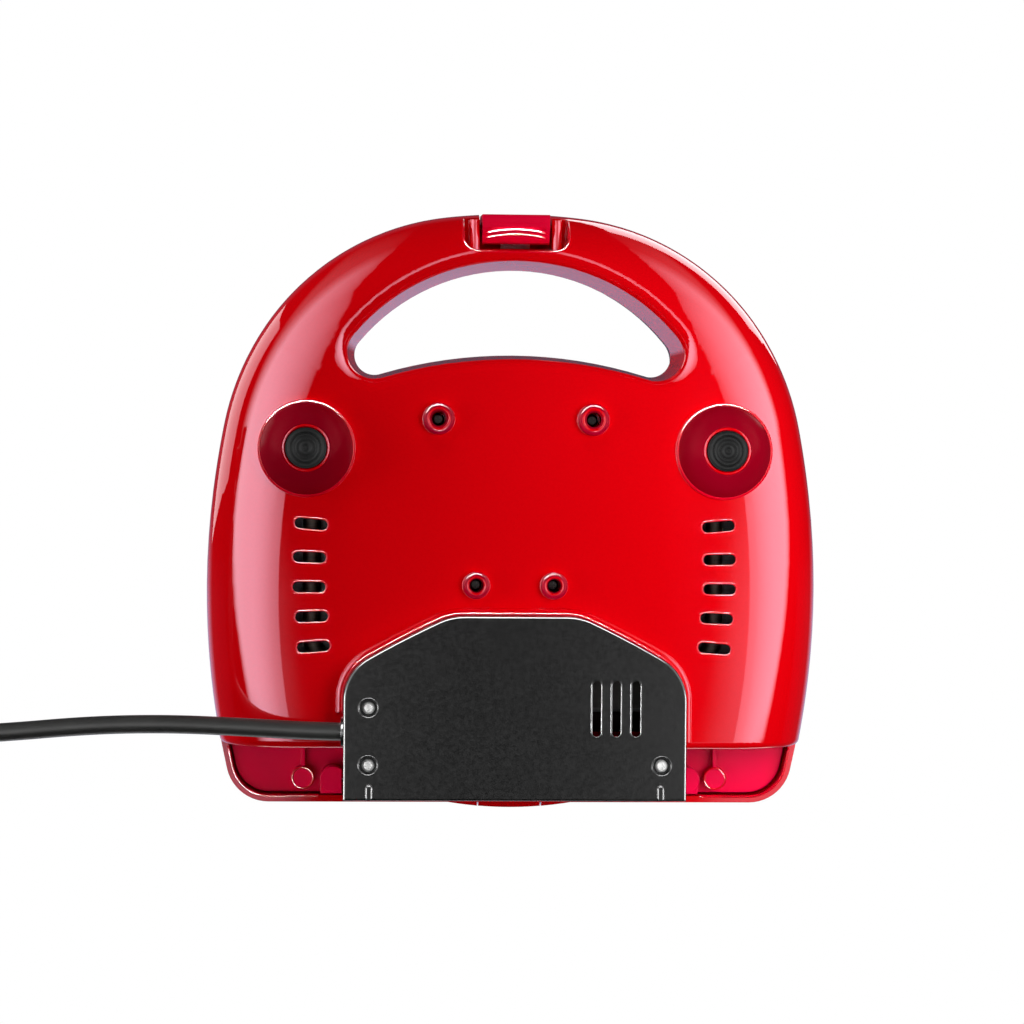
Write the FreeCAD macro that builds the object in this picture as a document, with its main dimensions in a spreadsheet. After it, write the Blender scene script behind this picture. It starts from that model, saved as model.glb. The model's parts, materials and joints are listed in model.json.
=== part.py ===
import FreeCAD, Part
import os, math
from FreeCAD import Vector, Placement, Rotation

# Electric sandwich maker, closed, standing on its feet.
# +Z up, -Y is the handle and latch side, +Y is the hinge side.
# Origin: centre of the footprint on the table. Millimetres.

doc = FreeCAD.newDocument("sandwich_maker")
sheet = doc.addObject("Spreadsheet::Sheet", "Sheet")
D = {}
_row = [0]


def dim(alias, value, note):
    _row[0] += 1
    r = _row[0]
    sheet.set("A%d" % r, note)
    sheet.set("B%d" % r, repr(float(value)))
    sheet.setAlias("B%d" % r, alias)
    D[alias] = float(value)


dim("base_bottom", 12, "underside of the base shell")
dim("base_top", 42, "parting rim of the base")
dim("lid_bottom", 42.5, "parting rim of the lid")
dim("lid_crown", 90, "highest point of the lid")
dim("wall", 2.5, "moulded wall thickness")
dim("edge_round", 28, "radius that joins underside and sides")
dim("base_rear", 89, "rear face of the base shell")
dim("hinge_y", 102.9, "hinge axis, depth")
dim("hinge_z", 42.25, "hinge axis, height")
dim("barrel_r", 5.5, "hinge barrel radius")
dim("block_half", 61.3, "half width of the hinge block")
dim("block_top", 28, "top of the wiring block behind the base")
dim("cover_half", 63.6, "half width of the rear cover")
dim("cover_rear", 107.4, "rear face of the cover")
dim("cover_bottom", 1.0, "underside of the cover")
dim("foot_x", 78.0, "foot axis, across")
dim("foot_y", -22.6, "foot axis, depth")
dim("foot_r", 18, "foot flange radius")
dim("pad_r", 7.5, "rubber pad radius")
dim("pad_h", 3.2, "rubber pad height")
dim("pin_r", 2.0, "hinge pin radius")
dim("pin_len", 19.6, "hinge pin length")
dim("run_fit", 0.05, "radial clearance of a turning pin")
dim("latch_half", 12.7, "half width of the latch")
dim("notch_half", 13.6, "half width of the latch slot")
dim("latch_pin_y", -107.0, "latch pivot, depth")
dim("latch_pin_z", 55.0, "latch pivot, height")
dim("latch_pin_r", 1.5, "latch pin radius")
dim("recess_half", 19.5, "half width of the finger recess")
dim("recess_y", -97.3, "back of the finger recess")
dim("recess_top", 30, "ceiling of the finger recess")
dim("plate_half", 96, "half width of the cooking plates")
dim("plate_y0", -44, "front edge of the cooking plates")
dim("plate_len", 124, "depth of the cooking plates")
dim("plate_top", 42.1, "face of the lower plate")
dim("plate_flange", 2.6, "flange thickness of a plate")
dim("plate_body", 11.5, "depth of a plate under its flange")
dim("frame_z", 37, "underside of the lower frame")
dim("frame_t", 2.5, "frame thickness")
dim("uframe_z", 50, "underside of the upper frame")
dim("element_r", 3.3, "heating element radius")
dim("sheet_t", 0.8, "heat shield sheet thickness")
dim("cord_d", 6.8, "cord diameter")
dim("cord_total", 825, "cord length, clamp to plug")
dim("plug_r", 18.5, "plug body radius")
dim("plug_h", 17, "plug body height")
dim("slot_len", 12.3, "vent slot length")
dim("slot_w", 3.9, "vent slot width")
dim("lens_r", 3.5, "indicator lens radius")
sheet.recompute()


def X(expr):
    return expr.replace("$", "Sheet.")


def put(obj, prop, val):
    if isinstance(val, str):
        obj.setExpression(prop, X(val))
    else:
        parts = prop.split(".")
        if len(parts) == 1:
            setattr(obj, prop, val)
        else:
            p = obj.Placement
            setattr(p.Base, parts[-1], float(val))
            obj.Placement = p


AX = {"z": Rotation(), "x": Rotation(Vector(0, 1, 0), 90), "y": Rotation(Vector(1, 0, 0), -90)}


def place(o, x, y, z, rot=None):
    vals = [v if not isinstance(v, str) else 0.0 for v in (x, y, z)]
    o.Placement = Placement(Vector(*vals), rot or Rotation())
    for k, v in zip("xyz", (x, y, z)):
        if isinstance(v, str):
            o.setExpression("Placement.Base." + k, X(v))


def box(n, l, w, h, x, y, z, rot=None):
    o = doc.addObject("Part::Box", n)
    put(o, "Length", l); put(o, "Width", w); put(o, "Height", h)
    place(o, x, y, z, rot)
    return o


def cyl(n, r, h, x, y, z, axis="z", rot=None):
    o = doc.addObject("Part::Cylinder", n)
    put(o, "Radius", r); put(o, "Height", h)
    place(o, x, y, z, rot or AX[axis])
    return o


def cone(n, r1, r2, h, x, y, z, axis="z"):
    o = doc.addObject("Part::Cone", n)
    put(o, "Radius1", r1); put(o, "Radius2", r2); put(o, "Height", h)
    place(o, x, y, z, AX[axis])
    return o


def fuse(n, objs):
    o = doc.addObject("Part::MultiFuse", n)
    o.Shapes = objs
    o.Refine = True
    return o


def cut(n, a, b):
    if isinstance(b, (list, tuple)):
        b = b[0] if len(b) == 1 else fuse(n + "_tool", list(b))
    o = doc.addObject("Part::Cut", n)
    o.Base = a; o.Tool = b
    o.Refine = True
    return o


def common(n, objs):
    o = doc.addObject("Part::MultiCommon", n)
    o.Shapes = objs
    return o


def compound(n, objs):
    o = doc.addObject("Part::Compound", n)
    o.Links = objs
    return o


def mirror(n, src, normal=(1, 0, 0), base=(0, 0, 0)):
    o = doc.addObject("Part::Mirroring", n)
    o.Source = src
    o.Normal = Vector(*normal)
    o.Base = Vector(*base)
    return o


def plane_of(body, role):
    for f in body.Origin.OriginFeatures:
        if f.Role == role:
            return f


def sketch(body, n, role, off, geo):
    s = body.newObject("Sketcher::SketchObject", n)
    s.AttachmentSupport = (plane_of(body, role), [""])
    s.MapMode = "FlatFace"
    if isinstance(off, str):
        s.setExpression("AttachmentOffset.Base.z", X(off))
    elif off:
        s.AttachmentOffset = Placement(Vector(0, 0, off), Rotation())
    for g in geo:
        s.addGeometry(g, False)
    return s


def pad(n, geo, off, length, role="XY_Plane", mid=False):
    b = doc.addObject("PartDesign::Body", n)
    s = sketch(b, n + "_sketch", role, off, geo)
    p = b.newObject("PartDesign::Pad", n + "_pad")
    p.Profile = s
    put(p, "Length", length)
    if mid:
        p.SideType = "Symmetric"
    s.Visibility = False
    b.Tip = p
    return b


def revolve(n, geo, x=0, y=0, z=0):
    b = doc.addObject("PartDesign::Body", n)
    s = sketch(b, n + "_sketch", "XZ_Plane", 0, geo)
    p = b.newObject("PartDesign::Revolution", n + "_rev")
    p.Profile = s
    p.ReferenceAxis = (s, ["V_Axis"])
    p.Angle = 360
    b.Tip = p
    place(b, x, y, z)
    return b


def pd_fillet(body, pick, radius, n):
    doc.recompute()
    base = body.Tip
    names = ["Edge%d" % (i + 1) for i, e in enumerate(base.Shape.Edges) if pick(e)]
    if not names:
        raise RuntimeError("no edges for " + n)
    f = body.newObject("PartDesign::Fillet", n)
    f.Base = (base, names)
    put(f, "Radius", radius)
    body.Tip = f
    doc.recompute()
    return f


def fillet(n, base, pick, radius, radius2=None):
    # pick(edge) gives False, True or a pair of end radii
    doc.recompute()
    es = []
    for i, e in enumerate(base.Shape.Edges):
        r = pick(e)
        if r is True:
            es.append((i + 1, radius, radius2 or radius))
        elif r:
            es.append((i + 1, r[0], r[1]))
    if not es:
        raise RuntimeError("no edges for " + n)
    o = doc.addObject("Part::Fillet", n)
    o.Base = base
    o.Edges = es
    doc.recompute()
    return o


# ---------- plane curves ----------
def line(a, b):
    return Part.LineSegment(Vector(a[0], a[1], 0), Vector(b[0], b[1], 0))


def arc3(a, m, b):
    return Part.Arc(Vector(a[0], a[1], 0), Vector(m[0], m[1], 0), Vector(b[0], b[1], 0))


def poly(pts):
    return [line(pts[i], pts[(i + 1) % len(pts)]) for i in range(len(pts))]


def circle(x, y, r):
    return [Part.Circle(Vector(x, y, 0), Vector(0, 0, 1), r)]


def rrect(x0, y0, x1, y1, r):
    k = r * (1 - math.sqrt(0.5))
    return [line((x0 + r, y0), (x1 - r, y0)), arc3((x1 - r, y0), (x1 - k, y0 + k), (x1, y0 + r)),
            line((x1, y0 + r), (x1, y1 - r)), arc3((x1, y1 - r), (x1 - k, y1 - k), (x1 - r, y1)),
            line((x1 - r, y1), (x0 + r, y1)), arc3((x0 + r, y1), (x0 + k, y1 - k), (x0, y1 - r)),
            line((x0, y1 - r), (x0, y0 + r)), arc3((x0, y0 + r), (x0 + k, y0 + k), (x0 + r, y0))]


def slot(cx, cy, length, width, ang):
    a = math.radians(ang)
    c, s = math.cos(a), math.sin(a)
    h, r = length / 2 - width / 2, width / 2

    def T(x, y):
        return (cx + x * c - y * s, cy + x * s + y * c)
    return [line(T(-h, -r), T(h, -r)), arc3(T(h, -r), T(h + r, 0), T(h, r)),
            line(T(h, r), T(-h, r)), arc3(T(-h, r), T(-h - r, 0), T(-h, -r))]


# plan outline of the clamshell: tangent arcs, each radius and turn (degrees), from the
# middle of the handle round to the rear corner; a positive inset moves it inwards
FRONT = -113.0
REAR = 112.0
ARCS = [(222.17, 6.63), (96.25, 52.29), (103.42, 20.12), (354.15, 4.21), (306.96, 19.83), (16.29, 76.92)]


def outline_half(inset, upto):
    x, y, a = 0.0, FRONT, 0.0
    out = []
    for R, t in ARCS[:upto]:
        t = math.radians(t)
        cx, cy = x - R * math.sin(a), y + R * math.cos(a)
        r = R - inset
        q = [(cx + r * math.sin(k), cy - r * math.cos(k)) for k in (a, a + t / 2, a + t)]
        out.append(q)
        a += t
        x, y = cx + R * math.sin(a), cy - R * math.cos(a)
    return out, a


def outline(inset, rear=None):
    """Closed outline. rear None: full outline with rear corners; else the sides run on to y = rear."""
    if rear is None:
        segs, a = outline_half(inset, 6)
        e = segs[-1][2]
        segs[-1][2] = (e[0], REAR - inset)
        e = segs[-1][2]
        right = [arc3(*q) for q in segs]
        left = [arc3((-q[2][0], q[2][1]), (-q[1][0], q[1][1]), (-q[0][0], q[0][1])) for q in segs][::-1]
        return right + [line(e, (-e[0], e[1]))] + left
    segs, a = outline_half(inset, 5)
    e = segs[-1][2]
    k = (rear - e[1]) / math.sin(a)
    f = (e[0] + k * math.cos(a), rear)
    right = [arc3(*q) for q in segs]
    left = [arc3((-q[2][0], q[2][1]), (-q[1][0], q[1][1]), (-q[0][0], q[0][1])) for q in segs][::-1]
    return right + [line(e, f), line(f, (-f[0], rear)), line((-f[0], rear), (-e[0], e[1]))] + left


# handle opening: a crescent of four tangent arcs; grow widens it
def crescent(grow, z=0.0):
    cx, cy, rc = 52.5, -58.9, 8.0 + grow
    Rf = 76.0 + grow
    yf = cy + math.sqrt((76.0 - 8.0) ** 2 - cx ** 2)
    # rear arc, convex towards the front, tangent to the corner circles from outside
    yb0 = -59.2
    k = cy - yb0
    Rb = (cx * cx + k * k - 64.0) / (2 * (8.0 - k)) if abs(8.0 - k) > 1e-6 else 185.0
    yb = yb0 + Rb
    Rr = Rb - grow
    af = math.atan2(cy - yf, cx)
    tf = (Rf * math.cos(af), yf + Rf * math.sin(af))
    ab = math.atan2(cy - yb, cx)
    tb = (Rr * math.cos(ab), yb + Rr * math.sin(ab))
    a1, a2 = af, math.atan2(tb[1] - cy, tb[0] - cx)
    if a2 < a1:
        a2 += 2 * math.pi
    am = (a1 + a2) / 2
    mc = (cx + rc * math.cos(am), cy + rc * math.sin(am))

    def M(p):
        return (-p[0], p[1])

    def L(p):
        return Vector(p[0], p[1], z)
    return [Part.Arc(L(M(tf)), L((0, yf - Rf)), L(tf)), Part.Arc(L(tf), L(mc), L(tb)),
            Part.Arc(L(tb), L((0, yb - Rr)), L(M(tb))), Part.Arc(L(M(tb)), L(M(mc)), L(M(tf)))]


def handle_tool(n, z0, g0, z1, g1):
    """Drafted plug of the handle opening, from growth g0 at z0 to growth g1 at z1."""
    ws = [Part.Wire([c.toShape() for c in crescent(g, z)]) for g, z in ((g0, z0), (g1, z1))]
    o = doc.addObject("Part::Feature", n)
    o.Shape = Part.makeLoft(ws, True, True)
    return o


# rear cover outline: flat front, two sloping shoulders, straight sides
def cover_outline(inset, rear, half=None):
    a25, a30 = math.radians(25), math.radians(30)
    p0 = (0.0, 39.1 + inset)
    p1 = (19.0, 39.1 + inset)
    c1 = (19.0, 39.1 + 22.0)

    def on(c, R, a):
        return (c[0] + R * math.sin(a), c[1] - R * math.cos(a))
    q1 = on(c1, 22 - inset, a25 / 2)
    p2 = on(c1, 22 - inset, a25)
    c2 = (c1[0] + (22 - 340) * math.sin(a25), c1[1] - (22 - 340) * math.cos(a25))
    q2 = on(c2, 340 - inset, (a25 + a30) / 2)
    p3 = on(c2, 340 - inset, a30)
    c3 = (c2[0] + (340 - 18) * math.sin(a30), c2[1] - (340 - 18) * math.cos(a30))
    q3 = on(c3, 18 - inset, (a30 + math.pi / 2) / 2)
    p4 = on(c3, 18 - inset, math.pi / 2)
    p5 = (p4[0], rear)

    def M(p):
        return (-p[0], p[1])
    return [line(M(p1), p1), arc3(p1, q1, p2), arc3(p2, q2, p3), arc3(p3, q3, p4), line(p4, p5),
            line(p5, M(p5)), line(M(p5), M(p4)), arc3(M(p4), M(q3), M(p3)), arc3(M(p3), M(q2), M(p2)),
            arc3(M(p2), M(q1), M(p1))]


def flat_at(z, tol=1e-4):
    return lambda e: abs(e.BoundBox.ZMin - z) < tol and abs(e.BoundBox.ZMax - z) < tol


NODES = {}


def node(label, obj):
    obj.Label = label
    NODES[label] = obj
    return obj


W = D["wall"]
BB, BT = D["base_bottom"], D["base_top"]
LB, LC = D["lid_bottom"], D["lid_crown"]
HY, HZ = D["hinge_y"], D["hinge_z"]
ER = D["edge_round"]
FX, FY = D["foot_x"], D["foot_y"]
BR = D["base_rear"]

# ======================= base shell =======================
FAR = 150.0
bo = pad("base_outer", outline(0, FAR), "$base_bottom", "$base_top - $base_bottom")
pd_fillet(bo, lambda e: flat_at(BB)(e) and e.BoundBox.YMax < FAR - 1e-3 or (flat_at(BB)(e) and e.BoundBox.YLength > 1 and e.BoundBox.XLength < 30), "$edge_round", "base_outer_round")
tail = box("base_tail", 300, 100, 60, -150, "$base_rear", 0)
bo2 = cut("base_outer_cut", bo, tail)
bo3 = fillet("base_rear_round", bo2, lambda e: e.BoundBox.YLength < 1e-3 and abs(e.BoundBox.YMax - BR) < 1e-3
             and e.BoundBox.ZMin < BB + 1e-3 and e.BoundBox.XLength > 100, 2.6)

bi = pad("base_inner", outline(W, FAR), "$base_bottom + $wall", "$base_top - $base_bottom")
pd_fillet(bi, lambda e: flat_at(BB + W)(e) and e.BoundBox.YMax < FAR - 1e-3 or (flat_at(BB + W)(e) and e.BoundBox.YLength > 1 and e.BoundBox.XLength < 30), "$edge_round - $wall", "base_inner_round")
tail2 = box("base_tail2", 300, 100, 60, -150, "$base_rear - $wall", 0)
# growth of the handle opening per mm below the parting plane
g = 2.1 / 22.0
isl = handle_tool("base_island", 4, W + g * (BT - 4), BT + 8, W - g * 8)
latch_isl = box("latch_island", 44, 40, 60, -22, -134.8, 0)
bi2 = cut("base_cavity", bi, [tail2, isl, latch_isl])

# hinge block, web and barrel seen from the side (y, z)
R5 = D["barrel_r"]
BKT = D["block_top"]
zb = HZ - R5
blk = pad("hinge_block", [line((85.0, BB), (105.2, BB)), line((105.2, BB), (105.2, BKT)),
                          line((105.2, BKT), (99.0, BKT)), line((99.0, BKT), (99.0, zb)),
                          line((99.0, zb), (HY, zb)), arc3((HY, zb), (HY + R5, HZ), (HY, HZ + R5)),
                          arc3((HY, HZ + R5), (HY - R5 * math.sin(math.radians(50)), HZ + R5 * math.cos(math.radians(50))),
                               (HY - R5, HZ)),
                          line((HY - R5, HZ), (HY - R5 - 2.0, BT - 1.0)), line((HY - R5 - 2.0, BT - 1.0), (85.0, BT - 1.0)), line((85.0, BT - 1.0), (85.0, BB))],
          0, "2 * $block_half", "YZ_Plane", True)
blk_in = pad("hinge_block_in", poly([(80.0, BB + W), (102.9, BB + W), (102.9, BKT - 2.0), (96.5, BKT - 2.0),
                                     (96.5, BT - 3.2), (80.0, BT - 3.2)]), 0, "2 * $block_half - 5", "YZ_Plane", True)

# foot: flange, swelling cone, tip ring; hollow from above
foot_prof = [line((0, 3.2), (7.7, 3.2)), line((7.7, 3.2), (7.7, 1.5)), arc3((7.7, 1.5), (8.25, 1.0), (8.8, 1.35)),
             arc3((8.8, 1.35), (13.9, 4.9), (17.2, 10.4)), line((17.2, 10.4), (17.55, 10.4)),
             arc3((17.55, 10.4), (17.87, 10.53), (18.0, 10.85)), line((18.0, 10.85), (18.0, 21.0)), line((18.0, 21.0), (0, 21.0)),
             line((0, 21.0), (0, 3.2))]
foot_in = [line((0, 6.0), (8.6, 6.0)), arc3((8.6, 6.0), (12.4, 8.5), (14.8, 12.5)), line((14.8, 12.5), (14.8, 24.0)),
           line((14.8, 24.0), (0, 24.0)), line((0, 24.0), (0, 6.0))]
feet, feet_in = [], []
for s in (-1, 1):
    k = "l" if s < 0 else "r"
    f = revolve("foot_" + k, foot_prof, "%d * $foot_x" % s, "$foot_y", 0)
    feet.append(f)
    feet_in.append(revolve("foot_hollow_" + k, foot_in, "%d * $foot_x" % s, "$foot_y", 0))
# keep the feet inside the outer form where it rises
env = pad("foot_trim", outline(1.0, FAR), 0, 40)

# screw bosses: rounded rims below the underside, posts above it
BOSS = [(-28.9, -34.0, 5.85, 3.7), (28.9, -34.0, 5.85, 3.7), (-14.5, 28.0, 5.0, 3.1), (14.5, 28.0, 5.0, 3.1)]
bosses, boss_bores = [], []
for i, (x, y, r, ri) in enumerate(BOSS):
    ch = 1.0
    bosses.append(revolve("boss_%d" % i, [line((0, 9.6), (ri - 0.6, 9.6)), line((ri - 0.6, 9.6), (ri, 8.4)), line((ri, 8.4), (r - 1.6, 8.4)),
                                          arc3((r - 1.6, 8.4), (r - 0.45, 8.9), (r, 10.0)), line((r, 10.0), (r, 26.0)),
                                          line((r, 26.0), (0, 26.0)), line((0, 26.0), (0, 9.6))], x, y, 0))
    boss_bores.append(cyl("boss_bore_%d" % i, 2.75 if r > 5.5 else 2.5, 14.0, x, y, 8.0))
    boss_bores.append(cyl("boss_hole_%d" % i, 1.6, 10.0, x, y, 20.0))

# posts that carry the lower frame, and posts over the cover screws
FPOST = [(-101, 30), (101, 30), (-82, -62), (82, -62), (-80, 83.1), (80, 83.1)]
posts = [cyl("frame_post_%d" % i, 3.4, 24, x, y, 13) for i, (x, y) in enumerate(FPOST)]
CSCREW = [(-54.3, 73.2), (-54.4, 94.4), (54.4, 94.4)]
cposts = [cyl("cover_post_%d" % i, 3.6, 6.3, x, y, 12.5) for i, (x, y) in enumerate(CSCREW)]
CL = -45.4
CLAMP_Y = (74.5, 90.5)
cposts += [cyl("clamp_post_%d" % i, 3.2, 5.0, CL, y, 12.5) for i, y in enumerate(CLAMP_Y)]
ridges = []
for s in (-1, 1):
    rb = pad("ridge_%s" % ("l" if s < 0 else "r"), rrect(13.6, 23.5, 17.4, 34.0, 1.85) if s > 0 else rrect(-17.4, 23.5, -13.6, 34.0, 1.85),
             0, 12.0, "XZ_Plane", False)
    place(rb, 0, -97.5, 0)
    ridges.append(rb)

# low moulded rim the rear cover sits in
rim_o = pad("cover_rim", cover_outline(-2.6, BR - 2.6), "$base_bottom - 1.3", 3.0)
pd_fillet(rim_o, lambda e: flat_at(BB - 1.3)(e) and e.BoundBox.YMin < 80, 1.0, "cover_rim_edge")
rim_i = pad("cover_rim_in", cover_outline(-0.15, BR + 5.0), "$base_bottom - 3", 3.0)
rim = cut("cover_rim_ring", rim_o, [rim_i, box("cover_rim_gap", 5, 14, 3, -68, 75.5, BB - 3)])
hole_b = handle_tool("base_handle", 2, g * (BT - 2), BT + 6, -g * 6)
outer1 = cut("base_holed", bo3, hole_b)
try:
    def hole_edge(e):
        b = e.BoundBox
        return b.ZMax < 17 and b.XMax < 70 and b.XMin > -70 and b.YMax < -44 and b.YMin > -100 and b.XLength + b.YLength > 1
    outer2 = fillet("base_hole_round", outer1, hole_edge, 5.0)
    if outer2.Shape.isNull() or not outer2.Shape.isValid() or "Invalid" in outer2.State:
        raise RuntimeError("hole fillet")
except Exception as ex:
    print("handle edge left square:", ex)
    outer2 = outer1
feet_trim = common("feet_trimmed", [fuse("feet_both", feet), env])
outer3 = fuse("base_solid", [outer2, rim, blk, feet_trim] + bosses)
hollow = cut("base_hollowed", outer3, fuse("base_hollow_tools", [bi2, blk_in] + feet_in))
# the posts end inside the rounded skin
pd_env = pad("post_form", outline(1.0, FAR), BB + 1.0, 40)
pd_fillet(pd_env, lambda e: flat_at(BB + 1.0)(e) and e.BoundBox.YMax < FAR - 1e-3 or (flat_at(BB + 1.0)(e) and e.BoundBox.YLength > 1 and e.BoundBox.XLength < 30), ER - 1.0, "post_form_round")
posts = [common("frame_posts_trimmed", [fuse("frame_posts_all", posts), pd_env])]
inside = fuse("base_posts", [hollow] + posts + cposts + [
    revolve("boss_in_%d" % i, [line((0, 12.5), (min(r, 4.4), 12.5)), line((min(r, 4.4), 12.5), (min(r, 4.4), 26.0)),
                               line((min(r, 4.4), 26.0), (0, 26.0)), line((0, 26.0), (0, 12.5))], x, y, 0)
    for i, (x, y, r, ri) in enumerate(BOSS)] + ridges)
# openings through the shell
rec_geo = [line((-19.5, -130), (19.5, -130)), line((19.5, -130), (19.5, -102.3)),
           arc3((19.5, -102.3), (18.04, -98.76), (14.5, -97.3)), line((14.5, -97.3), (-14.5, -97.3)),
           arc3((-14.5, -97.3), (-18.04, -98.76), (-19.5, -102.3)), line((-19.5, -102.3), (-19.5, -130))]
rec = pad("finger_recess", rec_geo, 5, "$recess_top - 5")
rec2 = cut("finger_recess_cut", rec, ridges)
nslot = box("latch_slot", "2 * $notch_half", 40, 60, "-$notch_half", -139.0, 0)
slots = []
for i, (x, y, a) in enumerate([(76.1, 5.5, 5), (76.6, 17.9, 1.5), (76.7, 29.0, 0), (75.7, 40.0, -2.2), (74.9, 51.2, -4.2)]):
    for s in (-1, 1):
        slots.append(pad("vent_%d_%s" % (i, "l" if s < 0 else "r"), slot(s * x, y, D["slot_len"], D["slot_w"], -s * a), 5, 15))
window = box("wire_window", 80, 22, 6, -30, 62, 10)
cbores = [cyl("cover_hole_%d" % i, 1.35, 9, x, y, 10) for i, (x, y) in enumerate(CSCREW)]
cbores += [cyl("clamp_tap_%d" % i, 1.3, 6.4, CL, y, 10) for i, y in enumerate(CLAMP_Y)]
fbores = [cyl("frame_hole_%d" % i, 1.3, 12, x, y, 27) for i, (x, y) in enumerate(FPOST)]
pin_bore = cyl("pin_bore", "$pin_r", 140, -70, "$hinge_y", "$hinge_z", "x")
base = cut("base_cut", inside, [rec2, nslot, window, pin_bore] + slots + boss_bores + cbores + fbores)
node("base_shell", base)
doc.recompute()
print("base", round(base.Shape.Volume), base.Shape.isValid(), len(base.Shape.Solids))

# ======================= feet pads =======================
pads = []
for s in (-1, 1):
    k = "l" if s < 0 else "r"
    pb = cyl("pad_body_" + k, "$pad_r", "$pad_h", "%d * $foot_x" % s, "$foot_y", 0)
    rings = [revolve("pad_ring_%s%d" % (k, j), [line((r0, -1), (r1, -1)), line((r1, -1), (r1, 0.35)), line((r1, 0.35), (r0, 0.35)), line((r0, 0.35), (r0, -1))],
                     "%d * $foot_x" % s, "$foot_y", 0) for j, (r0, r1) in enumerate([(5.1, 5.7), (2.9, 3.5)])]
    pads.append(cut("pad_cut_" + k, pb, rings + [cyl("pad_dot_" + k, 0.8, 1.4, "%d * $foot_x" % s, "$foot_y", -1)]))
node("foot_pads", compound("pads", pads))

# ======================= lower frame =======================
lf = pad("lf_blank", outline(W + 0.3, FAR), "$frame_z", "$frame_t")
lf_tail = box("lf_tail", 300, 100, 60, -150, 86.2, 0)
isl2 = handle_tool("lf_island", 30, W + 0.3 + g * 12, 50, W + 0.3 - g * 8)
win = pad("lf_window", rrect(-93, -41, 93, 77, 13), 30, 20)
lf_latch = box("lf_latch", 44.6, 40, 20, -22.3, -134.5, 30)
fh = [cyl("lf_hole_%d" % i, 1.7, 10, x, y, 33) for i, (x, y) in enumerate(FPOST)]
web_clear = box("lf_web", 124, 10, 20, -62, 84.4, 30)
node("lower_frame", cut("lf_cut", lf, [isl2, win, lf_latch, web_clear, lf_tail] + fh))


def pan_screw(n, x, y, z, head_r, head_h, shank_r, shank_l, up=True, slot_w=0.9):
    """Pan head at z, shank running up (or down when up is False), with a cross recess."""
    s = 1 if up else -1
    geo = [line((0, 0), (head_r * 0.62, 0)), arc3((head_r * 0.62, 0), (head_r * 0.9, s * head_h * 0.3), (head_r, s * head_h * 0.72)),
           line((head_r, s * head_h * 0.72), (head_r, s * head_h)), line((head_r, s * head_h), (shank_r, s * head_h)),
           line((shank_r, s * head_h), (shank_r, s * (head_h + shank_l - 0.8))),
           line((shank_r, s * (head_h + shank_l - 0.8)), (shank_r * 0.5, s * (head_h + shank_l))),
           line((shank_r * 0.5, s * (head_h + shank_l)), (0, s * (head_h + shank_l))), line((0, s * (head_h + shank_l)), (0, 0))]
    b = revolve(n + "_turned", geo, x, y, z)
    d = head_h * 0.55
    zz = z - 1.0 if up else z - d
    a = box(n + "_ca", head_r * 1.1, slot_w, d + 1.0, x - head_r * 0.55, y - slot_w / 2, zz)
    c = box(n + "_cb", slot_w, head_r * 1.1, d + 1.0, x - slot_w / 2, y - head_r * 0.55, zz)
    return cut(n, b, [a, c])


node("frame_screws_lower", compound("fsl", [pan_screw("fsl_%d" % i, x, y, 41.3, 3.0, 1.8, 1.3, 11.0, False) for i, (x, y) in enumerate(FPOST)]))
node("plate_screws_lower", compound("psl", [pan_screw("psl_%d" % i, x, y, 19.4, 2.35, 2.6, 1.5, 7.6) for i, (x, y, r, ri) in enumerate(BOSS)]))

# ======================= cooking plates =======================
PH, PY0, PL = D["plate_half"], D["plate_y0"], D["plate_len"]
PT, PF, PB = D["plate_top"], D["plate_flange"], D["plate_body"]
fl = pad("plate_flange_body", rrect(-PH, PY0, PH, PY0 + PL, 15), "$plate_top - $plate_flange", "$plate_flange")
pd_fillet(fl, flat_at(PT), 0.8, "plate_flange_edge")
bd = pad("plate_body_block", rrect(-90, -38, 90, 74, 11), "$plate_top - $plate_flange - $plate_body", "$plate_body + 1")
pd_fillet(bd, flat_at(PT - PF - PB), 4.0, "plate_body_edge")
lugs = [cyl("plate_lug_%d" % i, 4.4, 3, x, y, 26) for i, (x, y, r, ri) in enumerate(BOSS)]
plug0 = fuse("plate_solid", [fl, bd] + lugs)
tris = []
depth = 8.6


def tri_tool(n, pts, z0, z1, k):
    """Sandwich cavity: a rounded triangle that narrows towards its floor."""
    cx = sum(p[0] for p in pts) / 3.0
    cy = sum(p[1] for p in pts) / 3.0
    ws = []
    for z, sc, rad in ((z0, 1.0, 7.0), (z1, k, 5.0)):
        P = [Vector(cx + (p[0] - cx) * sc, cy + (p[1] - cy) * sc, z) for p in pts]
        ed = []
        cor = []
        for i in range(3):
            a, b, c = P[i - 1], P[i], P[(i + 1) % 3]
            u, v = (a - b).normalize(), (c - b).normalize()
            ang = math.acos(max(-1, min(1, u.dot(v))))
            t = rad / math.tan(ang / 2)
            p1, p2 = b + u * t, b + v * t
            bis = (u + v).normalize()
            m = b + bis * (rad / math.sin(ang / 2) - rad)
            cor.append((p1, m, p2))
        for i in range(3):
            ed.append(Part.Arc(*cor[i]).toShape())
            ed.append(Part.LineSegment(cor[i][2], cor[(i + 1) % 3][0]).toShape())
        ws.append(Part.Wire(ed))
    o = doc.addObject("Part::Feature", n)
    o.Shape = Part.makeLoft(ws, True, True)
    return o


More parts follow.
